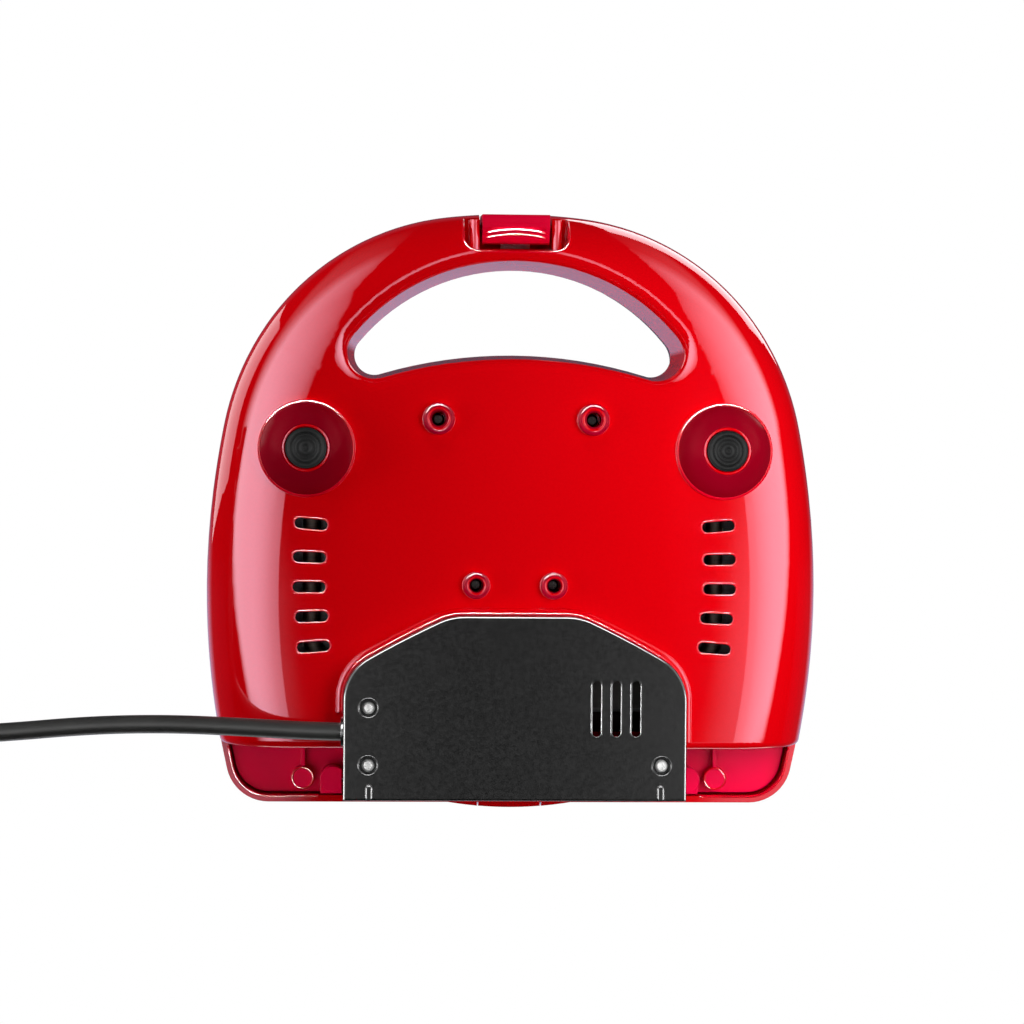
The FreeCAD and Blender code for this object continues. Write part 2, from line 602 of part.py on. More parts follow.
for s in (-1, 1):
    x0, x1 = (4.5, 86.0)
    y0, y1 = (-34.0, 70.0)
    q = 5.5
    A = [(x0 * s, y0 + q * 1.4), (x0 * s, y1), ((x1 - q * 1.2) * s, y1)]
    B = [(x1 * s, y1 - q * 1.4), (x1 * s, y0), ((x0 + q * 1.2) * s, y0)]
    for j, t in enumerate((A, B)):
        if s < 0:
            t = t[::-1]
        kx = 0.86
        tris.append(tri_tool("cavity_%s%d" % ("l" if s < 0 else "r", j), t, PT + 0.6, PT - depth, kx))
pscr = [cyl("plate_tap_%d" % i, 1.5, 4.4, x, y, 25.5) for i, (x, y, r, ri) in enumerate(BOSS)]
lp = cut("lower_plate_cut", plug0, tris + pscr)
node("lower_plate", lp)
MZ = 42.4
plug1 = fuse("plate_solid_plain", [fl, bd] + lugs)
up0 = cut("plate_upper_blank", plug1, tris)
node("upper_plate", mirror("upper_plate_m", up0, (0, 0, 1), (0, 0, MZ)))


# ======================= heating elements =======================
def bent(pts, rad):
    """Edges of a polyline whose corners are arcs of the given radius (a number or one per corner)."""
    P = [Vector(*p) for p in pts]
    ed, cur = [], P[0]
    for i in range(1, len(P) - 1):
        a, b, c = P[i - 1], P[i], P[i + 1]
        u, v = (a - b).normalize(), (c - b).normalize()
        ang = math.acos(max(-1, min(1, u.dot(v))))
        r = rad[i - 1] if isinstance(rad, (list, tuple)) else rad
        t = r / math.tan(ang / 2)
        p1, p2 = b + u * t, b + v * t
        m = b + (u + v).normalize() * (r / math.sin(ang / 2) - r)
        ed.append(Part.LineSegment(cur, p1).toShape())
        ed.append(Part.Arc(p1, m, p2).toShape())
        cur = p2
    ed.append(Part.LineSegment(cur, P[-1]).toShape())
    return ed


def tube(n, pts, rad, r):
    w = Part.Wire(bent(pts, rad))
    d = (Vector(*pts[1]) - Vector(*pts[0])).normalize()
    prof = Part.Wire([Part.Circle(Vector(*pts[0]), d, r).toShape()])
    o = doc.addObject("Part::Feature", n)
    o.Shape = w.makePipeShell([prof], True, False)
    want = math.pi * r * r * w.Length
    if abs(o.Shape.Volume - want) > 0.02 * want:
        print("tube volume", n, o.Shape.Volume, want)
    return o, w.Length


ELR = D["element_r"]
EZ = PT - PF - PB - ELR
EP = [(-24, 80, EZ), (-24, 58, EZ), (-76, 58, EZ), (-76, -20, EZ), (76, -20, EZ), (76, 58, EZ), (24, 58, EZ), (24, 80, EZ)]
el, _l = tube("element_tube", EP, 11.0, ELR)
tabs = [cyl("element_pin_%s" % k, 1.4, 6.5, x, 79.5, EZ, "y") for k, x in (("l", -24), ("r", 24))]
els = fuse("lower_element_f", [el] + tabs)
node("lower_element", els)
node("upper_element", mirror("upper_element_m", els, (0, 0, 1), (0, 0, MZ)))

# ======================= heat shields =======================
ST = D["sheet_t"]
SZ = 19.6
sh0 = pad("shield_sheet", rrect(-66, -40, 66, 74, 9), SZ, "$sheet_t")
sh_holes = [cyl("shield_hole_%d" % i, 5.4, 6, x, y, 17) for i, (x, y, r, ri) in enumerate(BOSS)]
sh_tabs = []
for i, (x, y) in enumerate([(-55, -39.0), (47, -39.0), (-55, 72.2), (47, 72.2)]):
    sh_tabs.append(box("shield_tab_%d" % i, 8, ST, (PT - PF - PB) - SZ + 0.0, x, y, SZ))
embs = [pad("shield_bead_%d" % i, rrect(x0, y0, x1, y1, 3.0), SZ + 0.4, 1.2) for i, (x0, y0, x1, y1) in enumerate([(-58, -8, -34, 46), (34, -8, 58, 46)])]
sh1 = cut("shield_cut", fuse("shield_all", [sh0] + sh_tabs + embs), sh_holes)
node("lower_heat_shield", sh1)
sh1b = cut("shield_upper_blank", fuse("shield_all_u", [sh0] + sh_tabs + embs), [cyl("shield_hole_u%d" % i, 5.4, 6, x, y, 17) for i, (x, y, r, ri) in enumerate(BOSS)])
node("upper_heat_shield", mirror("upper_shield_m", sh1b, (0, 0, 1), (0, 0, MZ)))

th0 = cyl("thermostat_can", 9.5, 5.2, 0, -2, 20.8 + 2.0)
th1 = cyl("thermostat_cap", 6.0, 2.2, 0, -2, 20.6)
th2 = box("thermostat_legs", 27, 5, 1.0, -13.5, -4.5, 24.2)
node("thermostat", fuse("thermostat_f", [th0, th1, th2]))
tf0 = cyl("fuse_sleeve", 2.3, 26, -13, 48, PT - PF - PB - 2.3, "x")
tf1 = cyl("fuse_leads", 0.6, 40, -20, 48, PT - PF - PB - 2.3, "x")
node("thermal_fuse", fuse("thermal_fuse_f", [tf0, tf1]))

# ======================= rear cover =======================
CB, CR = D["cover_bottom"], D["cover_rear"]
CH = D["cover_half"]
c0 = pad("cover_blank", cover_outline(0.0, CR), "$cover_bottom", "$base_bottom - $cover_bottom")
cup = box("cover_up", "2 * $cover_half", CR - (BR + 0.3), "$block_top - $base_bottom + 0.2", "-$cover_half", BR + 0.3, BB - 0.2)
cov0 = fuse("cover_form", [c0, cup])
cov1 = fillet("cover_edges", cov0, lambda e: flat_at(CB)(e), 0.9)
c_in = pad("cover_inside", cover_outline(2.1, CR - 2.1), "$cover_bottom + 2.0", 9.7)
c_in2 = box("cover_inside_up", 2 * (D["block_half"] + 0.15), 40, 40, -(D["block_half"] + 0.15), 65.35, BB - 0.1)
cpost = [cyl("cover_pillar_%d" % i, 4.9, 9.0, x, y, CB + 2.0) for i, (x, y) in enumerate(CSCREW)]
cov2 = cut("cover_shell", cov1, [c_in, c_in2])
cov3 = fuse("cover_pillars", [cov2] + cpost)
crec = [cyl("cover_recess_%d" % i, 3.3, 5.2, x, y, -1.0) for i, (x, y) in enumerate(CSCREW)]
cth = [cyl("cover_through_%d" % i, 1.6, 12, x, y, 2) for i, (x, y) in enumerate(CSCREW)]
cv = [pad("cover_vent_%d" % i, slot(x, 73.2, 20.6, 3.2, 90), -1, 5) for i, x in enumerate((30.1, 37.4, 44.7))]
bushhole = cyl("bush_hole", 4.6, 8, -66, 82.5, 6.6, "x")
ribs = []
for s in (-1, 1):
    rr = pad("cover_rib_%s" % ("l" if s < 0 else "r"), rrect(s * 54.0 - 1.15, 101.6, s * 54.0 + 1.15, CR - 0.1, 1.1), 0, 1.6)
    pd_fillet(rr, flat_at(0), 0.5, "cover_rib_edge_%s" % ("l" if s < 0 else "r"))
    ribs.append(rr)
cov4 = fuse("cover_ribbed", [cov3] + ribs)
node("rear_cover", cut("cover_cut", cov4, crec + cth + cv + [bushhole]))
node("cover_screws", compound("cs", [pan_screw("cs_%d" % i, x, y, 1.9, 2.35, 2.3, 1.35, 14.4) for i, (x, y) in enumerate(CSCREW)]))

# ======================= cord entry and wiring =======================
bush = revolve("bush_turned", [line((3.4, -3.9), (4.2, -3.9)), line((4.2, -3.9), (4.6, -3.3)),
                               line((4.6, -3.3), (4.6, 0.03)), line((4.6, 0.03), (5.3, 0.03)), line((5.3, 0.03), (5.0, 0.9)), line((5.0, 0.9), (3.4, 0.9)),
                               line((3.4, 0.9), (3.4, -3.9))])
bush.Placement = Placement(Vector(-CH, 82.5, 6.6), Rotation(Vector(0, 1, 0), -90))
node("cord_bush", bush)
clb = box("clamp_bar", 7, 22, 3.0, CL - 3.5, 71.5, 8.6)
clg = cyl("clamp_groove", "$cord_d / 2", 12, CL - 6, 82.5, 6.6, "x")
clh = [cyl("clamp_hole_%d" % i, 1.6, 8, CL, y, 6) for i, y in enumerate(CLAMP_Y)]
node("cord_clamp", cut("cord_clamp_c", clb, [clg] + clh))
node("clamp_screws", compound("cls", [pan_screw("cls_%d" % i, CL, y, 6.4, 2.6, 2.2, 1.3, 7.2) for i, y in enumerate(CLAMP_Y)]))
tb0 = box("terminal_body", 34, 12, 10.5, -17, 90.5, 14.5)
tbb = [cyl("terminal_bore_%d" % i, 2.0, 14, x, 89.5, 19.0, "y") for i, x in enumerate((-11, 0, 11))]
tbs = [cyl("terminal_well_%d" % i, 1.8, 7, x, 96.5, 19.0) for i, x in enumerate((-11, 0, 11))]
node("terminal_block", cut("terminal_block_c", tb0, tbb + tbs))
node("terminal_screws", compound("tsc", [cyl("tsc_%d" % i, 1.8, 3.2, x, 96.5, 21.4) for i, x in enumerate((-11, 0, 11))]))
w1, _ = tube("wire_live", [(-41.5, 83.0, 7.5), (-30, 83.0, 7.5), (-20, 80.0, 9.5), (-14.0, 76.0, 14.5), (-11, 79.5, 19.0), (-11, 90.3, 19.0)], [3.0, 3.0, 2.5, 2.2], 1.1)
w2, _ = tube("wire_neutral", [(-41.5, 81.0, 6.0), (-24, 79.0, 6.0), (-8, 73.5, 8.5), (-2.0, 72.0, 15.0), (0, 78.0, 19.0), (0, 90.3, 19.0)], [3.0, 3.0, 2.5, 2.2], 1.1)
w3, _ = tube("wire_earth", [(-41.5, 85.5, 6.0), (-26, 82.0, 5.0), (-4, 70.5, 6.0), (8.5, 67.5, 12.0), (11, 77.0, 19.0), (11, 90.3, 19.0)], [3.0, 3.0, 2.5, 2.2], 1.1)
node("internal_wires", compound("wires", [w1, w2, w3]))

# ======================= hinge pins =======================
PX = 71.8
p_r = cyl("pin_right", "$pin_r", "$pin_len", PX - D["pin_len"], "$hinge_y", "$hinge_z", "x")
p_l = cyl("pin_left", "$pin_r", "$pin_len", -PX, "$hinge_y", "$hinge_z", "x")
node("hinge_pins", compound("hinge_pins_c", [p_l, p_r]))

# ======================= latch catch =======================
node("latch_catch", pad("latch_catch_b", [line((-99.0, 40.0), (-99.6, 40.0)), line((-99.6, 40.0), (-99.6, 31.2)),
                                          line((-99.6, 31.2), (-102.6, 29.6)), line((-102.6, 29.6), (-102.6, 29.0)), line((-102.6, 29.0), (-99.0, 30.9)),
                                          line((-99.0, 30.9), (-99.0, 40.0))], 0, 11, "YZ_Plane", True))

# ======================= lid shell =======================
CY, CRN = 35.0, 456.0


def crown(n, lower, w=400):
    zc = LC - CRN
    R = CRN - lower

    def at(y):
        return zc + math.sqrt(R * R - (y - CY) ** 2)
    return pad(n, [line((-150, 20), (150, 20)), line((150, 20), (150, at(150))), arc3((150, at(150)), (CY, zc + R), (-150, at(-150))),
                   line((-150, at(-150)), (-150, 20))], 0, w, "YZ_Plane", True)


def top_edges(rf, rr):
    def pick(e):
        b = e.BoundBox
        if b.ZMin < 55 or b.ZLength > 15:
            return False
        mid = e.valueAt((e.FirstParameter + e.LastParameter) / 2)
        if mid.y > 95 or abs(mid.y - REAR) < 3:
            return (rr, rr)
        if b.YMin < 5 and b.YMax > 60:
            a = e.Vertexes[0].Point
            return (rf, rr) if a.y < 40 else (rr, rf)
        return (rf, rf)
    return pick


lo = common("lid_form", [pad("lid_blank", outline(0), "$lid_bottom", 60), crown("lid_crown_form", 0)])
try:
    lo2 = fillet("lid_round", lo, top_edges(20.0, 15.5), 15.5)
    if lo2.Shape.isNull() or not lo2.Shape.isValid() or "Invalid" in lo2.State:
        raise RuntimeError("variable")
except Exception as ex:
    print("lid fillet falls back:", ex)
    lo2 = fillet("lid_round_b", lo, top_edges(15.5, 15.5), 15.5)
li = common("lid_hollow_form", [pad("lid_blank_in", outline(W), LB - 4, 60), crown("lid_crown_in", W)])
try:
    li2 = fillet("lid_round_in", li, top_edges(17.5, 13.0), 13.0)
    if li2.Shape.isNull() or not li2.Shape.isValid() or "Invalid" in li2.State:
        raise RuntimeError("variable")
except Exception as ex:
    print("lid inner fillet falls back:", ex)
    li2 = fillet("lid_round_in_b", li, top_edges(13.0, 13.0), 13.0)
print("lid forms", round(lo2.Shape.Volume), round(li2.Shape.Volume))
isl_u = handle_tool("lid_island", LB - 6, W - g * 6, 100, W + g * (100 - LB))
notch_u = box("lid_latch_island", 36, 40, 80, -18, -140.1, -18.0)
li3 = cut("lid_cavity", li2, [isl_u, notch_u])
hole_u = handle_tool("lid_handle", LB - 6, -g * 6, 100, g * (100 - LB))
lh = cut("lid_holed", lo2, hole_u)
try:
    def hole_top(e):
        b = e.BoundBox
        return b.ZMin > 62 and b.XMax < 75 and b.XMin > -75 and b.YMax < -40 and b.YMin > -103 and b.XLength + b.YLength > 1
    lh2 = fillet("lid_hole_round", lh, hole_top, 5.0)
    if lh2.Shape.isNull() or not lh2.Shape.isValid() or "Invalid" in lh2.State:
        raise RuntimeError("lid hole fillet")
except Exception as ex:
    print("lid handle edge left square:", ex)
    lh2 = lh
bulge = pad("lid_bulge", [arc3((-25.8, 112.0), (0, 114.35), (25.8, 112.0)), line((25.8, 112.0), (25.8, 110.8)),
                          line((25.8, 110.8), (-25.8, 110.8)), line((-25.8, 110.8), (-25.8, 112.0))], 46, 20)
LPOST = [(-102.8, 30), (102.8, 30), (-82, -62), (82, -62), (-87, 88), (87, 88)]
lposts = common("lid_posts", [fuse("lid_posts_f", [cyl("lid_post_%d" % i, 3.4, 60, x, y, D["uframe_z"] + D["frame_t"]) for i, (x, y) in enumerate(LPOST)] +
                                    [cyl("lid_plate_post_%d" % i, 4.0, 60, x, y, 2 * MZ - 26.0) for i, (x, y, r, ri) in enumerate(BOSS)] +
                                    [cyl("lamp_post_%d" % i, 2.6, 30, x, -25, 80.0) for i, x in enumerate((-21.5, 21.5))]), lo2])
lid0 = fuse("lid_walls", [cut("lid_hollowed", fuse("lid_solid", [lh2, bulge]), li3), lposts])
lnotch = box("lid_notch", "2 * $notch_half", 40, 24, "-$notch_half", -142.6, 35.5)
lpin_bore = cyl("latch_pin_bore", "$latch_pin_r", 50, -25, "$latch_pin_y", "$latch_pin_z", "x")
lens_holes = [cyl("lens_hole_%d" % i, "$lens_r + 0.1", 20, x, -25, 78) for i, x in enumerate((-9, 9))]
capgap = box("cap_gap", 24.6, 6, 40, -12.3, 112.0, 40)
lfb = [cyl("lid_frame_hole_%d" % i, 1.3, 8, x, y, D["uframe_z"]) for i, (x, y) in enumerate(LPOST)]
node("lid_shell", cut("lid_cut", lid0, [lnotch, lpin_bore, capgap] + lens_holes + lfb))
cap0 = pad("cap_blank", [arc3((-25.8, 112.0), (0, 114.35), (25.8, 112.0)), line((25.8, 112.0), (-25.8, 112.0))], 46.4, 19.2)
capb = box("cap_box", 23.8, 10, 60, -11.9, 108, 30)
node("rear_cap", common("rear_cap_c", [cap0, capb]))

# ======================= upper frame with hinge lugs =======================
uf = pad("uf_blank", outline(W + 0.7), "$uframe_z", "$frame_t")
uf_isl = handle_tool("uf_island", 46, W + 0.4 + g * (46 - LB), 60, W + 0.4 + g * (60 - LB))
uf_latch = box("uf_latch", 37, 40.6, 20, -18.5, -140.3, 45)
uf_win = pad("uf_window", rrect(-93, -41, 93, 77, 13), 40, 20)
collar = pad("uf_collar", rrect(-98.5, -46, 98.5, 82, 17), 2 * MZ - (PT - PF), "$uframe_z - %.3f + 0.5" % (2 * MZ - (PT - PF)))
uf_boss, uf_ribs = [], []
for s in (-1, 1):
    k = "l" if s < 0 else "r"
    uf_boss.append(cyl("uf_boss_" + k, 4.3, 8, s * 79.2, 102.9, 43.2))
    uf_ribs.append(box("uf_rib_" + k, 1.6, 15, 6.5, s * 79.2 - 0.8, 84.5, 44.2))
    lug0 = cyl("lug_round_" + k, 4.9, 14.5, s * 67.6, 102.9, 36.4)
    lug1 = box("lug_foot_" + k, 8.2, 6.0, 7.2, 64.3 if s > 0 else -72.5, 102.9, 43.4)
    trim = box("lug_trim_" + k, 12, 20, 30, 64.3 if s > 0 else -76.3, 92.9, 30)
    lug = common("lug_" + k, [fuse("lug_f_" + k, [lug0, lug1]), trim])
    uf_boss.append(lug)
uff = fuse("uf_solid", [uf, collar] + uf_boss + uf_ribs)
pin_run = [cyl("lug_bore_%d" % i, "$pin_r + $run_fit", 8.6, x, "$hinge_y", "$hinge_z", "x") for i, x in enumerate((-72.0, 63.4))]
ufh = [cyl("uf_hole_%d" % i, 1.7, 10, x, y, 46) for i, (x, y) in enumerate(LPOST)]
node("upper_frame", cut("uf_cut", uff, [uf_isl, uf_latch, uf_win] + pin_run + ufh))
node("frame_screws_upper", compound("fsu", [pan_screw("fsu_%d" % i, x, y, 48.2, 3.0, 1.8, 1.3, 7.0, True) for i, (x, y) in enumerate(LPOST)]))

# ======================= lamps =======================
node("lamp_holder", cut("lamp_holder_c", box("lamp_board", 50, 16, 1.6, -25, -33, 78.4), [cyl("lamp_board_hole", 1.2, 8, 0, -25, 76)]))
for k, x in (("power_lens", -9.0), ("ready_lens", 9.0)):
    b = revolve(k + "_turned", [line((0, 80.0), (4.5, 80.0)), line((4.5, 80.0), (4.5, 82.2)), line((4.5, 82.2), (3.5, 82.2)), line((3.5, 82.2), (3.5, 86.3)),
                                line((3.5, 86.3), (2.9, 86.9)), line((2.9, 86.9), (1.6, 87.2)), line((1.6, 87.2), (0, 87.2)), line((0, 87.2), (0, 80.0))], x, -25, 0)
    node(k, b)

# ======================= latch =======================
LPY, LPZ = D["latch_pin_y"], D["latch_pin_z"]
br = 3.9
lat_geo = [arc3((LPY - 3.72, LPZ - 1.17), (LPY, LPZ + br), (LPY + 3.72, LPZ - 1.17)),
           arc3((LPY + 3.72, LPZ - 1.17), (-105.8, 50.6), (-109.2, 47.0)),
           line((-109.2, 47.0), (-109.2, 30.2)), line((-109.2, 30.2), (-107.6, 28.4)), line((-107.6, 28.4), (-101.6, 28.0)),
           arc3((-101.6, 28.0), (-100.8, 27.6), (-100.5, 26.9)), line((-100.5, 26.9), (-100.9, 24.6)),
           line((-100.9, 24.6), (-104.0, 22.6)), arc3((-104.0, 22.6), (-105.1, 21.4), (-106.4, 20.9)),
           line((-106.4, 20.9), (-109.9, 20.6)), arc3((-109.9, 20.6), (-110.9, 21.0), (-111.3, 22.1)),
           line((-111.3, 22.1), (-112.6, 45.0)), arc3((-112.6, 45.0), (-112.0, 50.0), (LPY - 3.72, LPZ - 1.17))]
lat = pad("latch_blank", lat_geo, 0, "2 * $latch_half", "YZ_Plane", True)
lat_bore = cyl("latch_bore", "$latch_pin_r + $run_fit", 40, -20, "$latch_pin_y", "$latch_pin_z", "x")
lip_cut = []
for j, (yy, zz) in enumerate(((-107.9, 20.3), (-105.9, 21.0))):
    lip_cut.append(cyl("latch_groove_%d" % j, 0.55, 22, -11, yy, zz, "x"))
node("latch", cut("latch_c", lat, [lat_bore] + lip_cut))
node("latch_pin", cyl("latch_pin_c", "$latch_pin_r", 35.6, -17.8, "$latch_pin_y", "$latch_pin_z", "x"))

# ======================= mains cord =======================
CD = D["cord_d"]
# cord axis, from the clamp out through the bush and along the table
ROUTE = [(-42.0, 82.5, 6.6), (-70.0, 82.4, 6.5), (-98.5, 80.65, 4.45), (-127.0, 79.3, 3.45), (-156.0, 79.9, 3.45),
         (-189.5, 82.9, 3.45), (-222.3, 84.6, 3.8)]


def cord_radii(P):
    out = []
    for i in range(1, len(P) - 1):
        a, b, c = Vector(*P[i - 1]), Vector(*P[i]), Vector(*P[i + 1])
        l1, l2 = (b - a).Length, (c - b).Length
        ang = math.acos(max(-1, min(1, (b - a).normalize().dot((c - b).normalize()))))
        out.append(0.45 * min(l1, l2) / math.tan(ang / 2))
    return out


rr_ = cord_radii(ROUTE)
cord, cl_ = tube("cord_tube", ROUTE, rr_, CD / 2)
node("cord", cord)
print("cord radii", [round(r) for r in rr_], "length", round(cl_, 1))
COX, COY, COR = -247.0, 41.0, 40.0
coil = revolve("coil_ring", rrect(COR - CD - 0.2, 0.9, COR + CD + 0.2, 7.9, 2.4), COX, COY, 0)
node("cord_coil", coil)
t_out = box("tie_out", 17.2, 6.0, 9.0, COX + COR - 8.6, COY - 3, 0.0)
t_in = box("tie_in", 14.9, 8.0, 7.3, COX + COR - 7.45, COY - 4, 0.8)
tie = cut("tie_band", t_out, t_in)
tie2 = cut("tie_band2", fillet("tie_round", t_out, lambda e: e.BoundBox.YLength > 5, 2.0), t_in)
node("cord_tie", tie2)
PCX, PCY = -288.5, -53.0
TAIL = [(-286.8, 46.6, 11.3), (-287.2, 28.2, 11.5), (-288.5, 9.8, 11.1), (-288.5, -8.0, 6.9)]
rt_ = cord_radii(TAIL)
tail_t, tl_ = tube("cord_tail_tube", TAIL, rt_, CD / 2)
node("cord_tail", tail_t)
print("tail radii", [round(r) for r in rt_], "length", round(tl_, 1))
PR, PHH = D["plug_r"], D["plug_h"] + 7
pbody = revolve("plug_turned", [line((0, 0), (PR - 3.0, 0)), arc3((PR - 3.0, 0), (PR - 0.88, 0.88), (PR, 3.0)), line((PR, 3.0), (PR, 13.0)),
                                line((PR, 13.0), (PR - 0.9, 14.2)), line((PR - 0.9, 14.2), (PR - 0.9, PHH - 1.0)), line((PR - 0.9, PHH - 1.0), (PR - 1.9, PHH)),
                                line((PR - 1.9, PHH), (0, PHH)), line((0, PHH), (0, 0))], PCX, PCY, 0)
neck = cone("plug_neck", 6.5, 4.3, 30.0, PCX, PCY + 15.0, 6.9, "y")
pf = fuse("plug_form", [pbody, neck])
clipcut = [box("clip_cut_%d" % i, 6.4, 3.0, 10.0, PCX - 3.2, PCY + (s * (PR - 0.9) - 1.2 if s > 0 else s * (PR - 0.9) - 1.8), 14.8) for i, s in enumerate((-1, 1))]
pinr = 2.4
pincut = [cyl("plug_pin_seat_%d" % i, pinr, 12, PCX + sx, PCY, PHH - 8.0) for i, sx in enumerate((-9.5, 9.5))]
node("plug_body", cut("plug_c", pf, clipcut + pincut))
pins = []
for i, sx in enumerate((-9.5, 9.5)):
    pins.append(revolve("plug_pin_%d" % i, [line((0, PHH - 8.0), (pinr, PHH - 8.0)), line((pinr, PHH - 8.0), (pinr, PHH + 17.4)),
                                            line((pinr, PHH + 17.4), (pinr - 0.5, PHH + 18.4)), line((pinr - 0.5, PHH + 18.4), (pinr - 1.4, PHH + 19.0)),
                                            line((pinr - 1.4, PHH + 19.0), (0, PHH + 19.0)), line((0, PHH + 19.0), (0, PHH - 8.0))], PCX + sx, PCY, 0))
node("plug_pins", compound("plug_pins_c", pins))
clips = []
for i, s in enumerate((-1, 1)):
    y = PCY + s * (PR - 0.9)
    clips.append(box("earth_clip_%d" % i, 6.0, 1.1, 9.2, PCX - 3.0, y - (1.2 if s > 0 else -0.1), 14.8))
node("plug_earth_clips", compound("clips_c", clips))

# ======================= check and write =======================
doc.recompute()
bad = []
for o in doc.Objects:
    if "Invalid" in o.State or "Error" in o.State:
        bad.append((o.Name, o.State))
for k, o in NODES.items():
    s = o.Shape
    if s.isNull() or not s.isValid() or not s.Solids:
        bad.append((k, "shape"))
if bad:
    raise SystemExit("bad: %s" % bad)
if len(NODES) > 60:
    raise SystemExit("too many nodes")
os.makedirs("parts", exist_ok=True)
for k, o in NODES.items():
    o.Shape.exportStep("parts/%s.step" % k)
    b = o.Shape.BoundBox
    print("%-20s solids %d vol %9.0f  x %.1f..%.1f y %.1f..%.1f z %.2f..%.2f" % (k, len(o.Shape.Solids), o.Shape.Volume, b.XMin, b.XMax, b.YMin, b.YMax, b.ZMin, b.ZMax))
print(len(NODES), "nodes")
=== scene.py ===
import bpy
import bmesh
import json
import math
from mathutils import Vector, Matrix
from mathutils.bvhtree import BVHTree

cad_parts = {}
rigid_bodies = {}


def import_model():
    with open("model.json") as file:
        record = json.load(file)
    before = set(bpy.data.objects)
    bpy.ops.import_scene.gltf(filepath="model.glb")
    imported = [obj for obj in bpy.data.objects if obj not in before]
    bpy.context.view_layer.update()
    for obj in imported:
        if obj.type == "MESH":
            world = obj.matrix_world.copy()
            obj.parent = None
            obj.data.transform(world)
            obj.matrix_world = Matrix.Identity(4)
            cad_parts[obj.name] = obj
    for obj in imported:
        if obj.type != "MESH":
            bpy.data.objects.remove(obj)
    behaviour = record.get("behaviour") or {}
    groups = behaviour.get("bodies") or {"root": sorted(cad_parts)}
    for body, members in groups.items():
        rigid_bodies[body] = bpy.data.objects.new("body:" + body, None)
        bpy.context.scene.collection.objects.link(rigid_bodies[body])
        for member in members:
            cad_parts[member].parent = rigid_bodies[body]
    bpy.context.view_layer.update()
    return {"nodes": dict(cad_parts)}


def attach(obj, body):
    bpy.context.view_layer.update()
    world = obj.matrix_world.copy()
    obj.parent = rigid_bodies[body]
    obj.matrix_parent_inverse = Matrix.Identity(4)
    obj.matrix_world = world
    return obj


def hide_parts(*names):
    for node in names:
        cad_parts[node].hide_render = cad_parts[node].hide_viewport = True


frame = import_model()
NODES = frame["nodes"]
scene = bpy.context.scene
scene.view_settings.view_transform = "Standard"
scene.view_settings.look = "None"


# ------------------------------------------------------------------ camera
def rot(axis, deg):
    return Matrix.Rotation(math.radians(deg), 3, axis)


# the camera stands under the object and looks up at its underside
# world (X right, Y down, Z forward) to camera: Rz * Rx * Ry
M = rot("Z", 0.418) @ rot("X", 0.358) @ rot("Y", -2.807)
flip = Matrix(((1, 0, 0), (0, 1, 0), (0, 0, 1)))
Rt = M.transposed()
right = Rt @ Vector((1, 0, 0))
down = Rt @ Vector((0, 1, 0))
fwd = Rt @ Vector((0, 0, 1))
cam_data = bpy.data.cameras.new("camera")
cam_data.lens = 103.284
cam_data.sensor_width = 36.0
cam_data.sensor_fit = "HORIZONTAL"
cam_data.clip_start = 0.01
cam_data.clip_end = 100.0
cam = bpy.data.objects.new("camera", cam_data)
scene.collection.objects.link(cam)
R = Matrix((right, -down, -fwd)).transposed()
cam.matrix_world = Matrix.Translation((-0.0550, -0.0063, -1.08257)) @ R.to_4x4()
scene.camera = cam


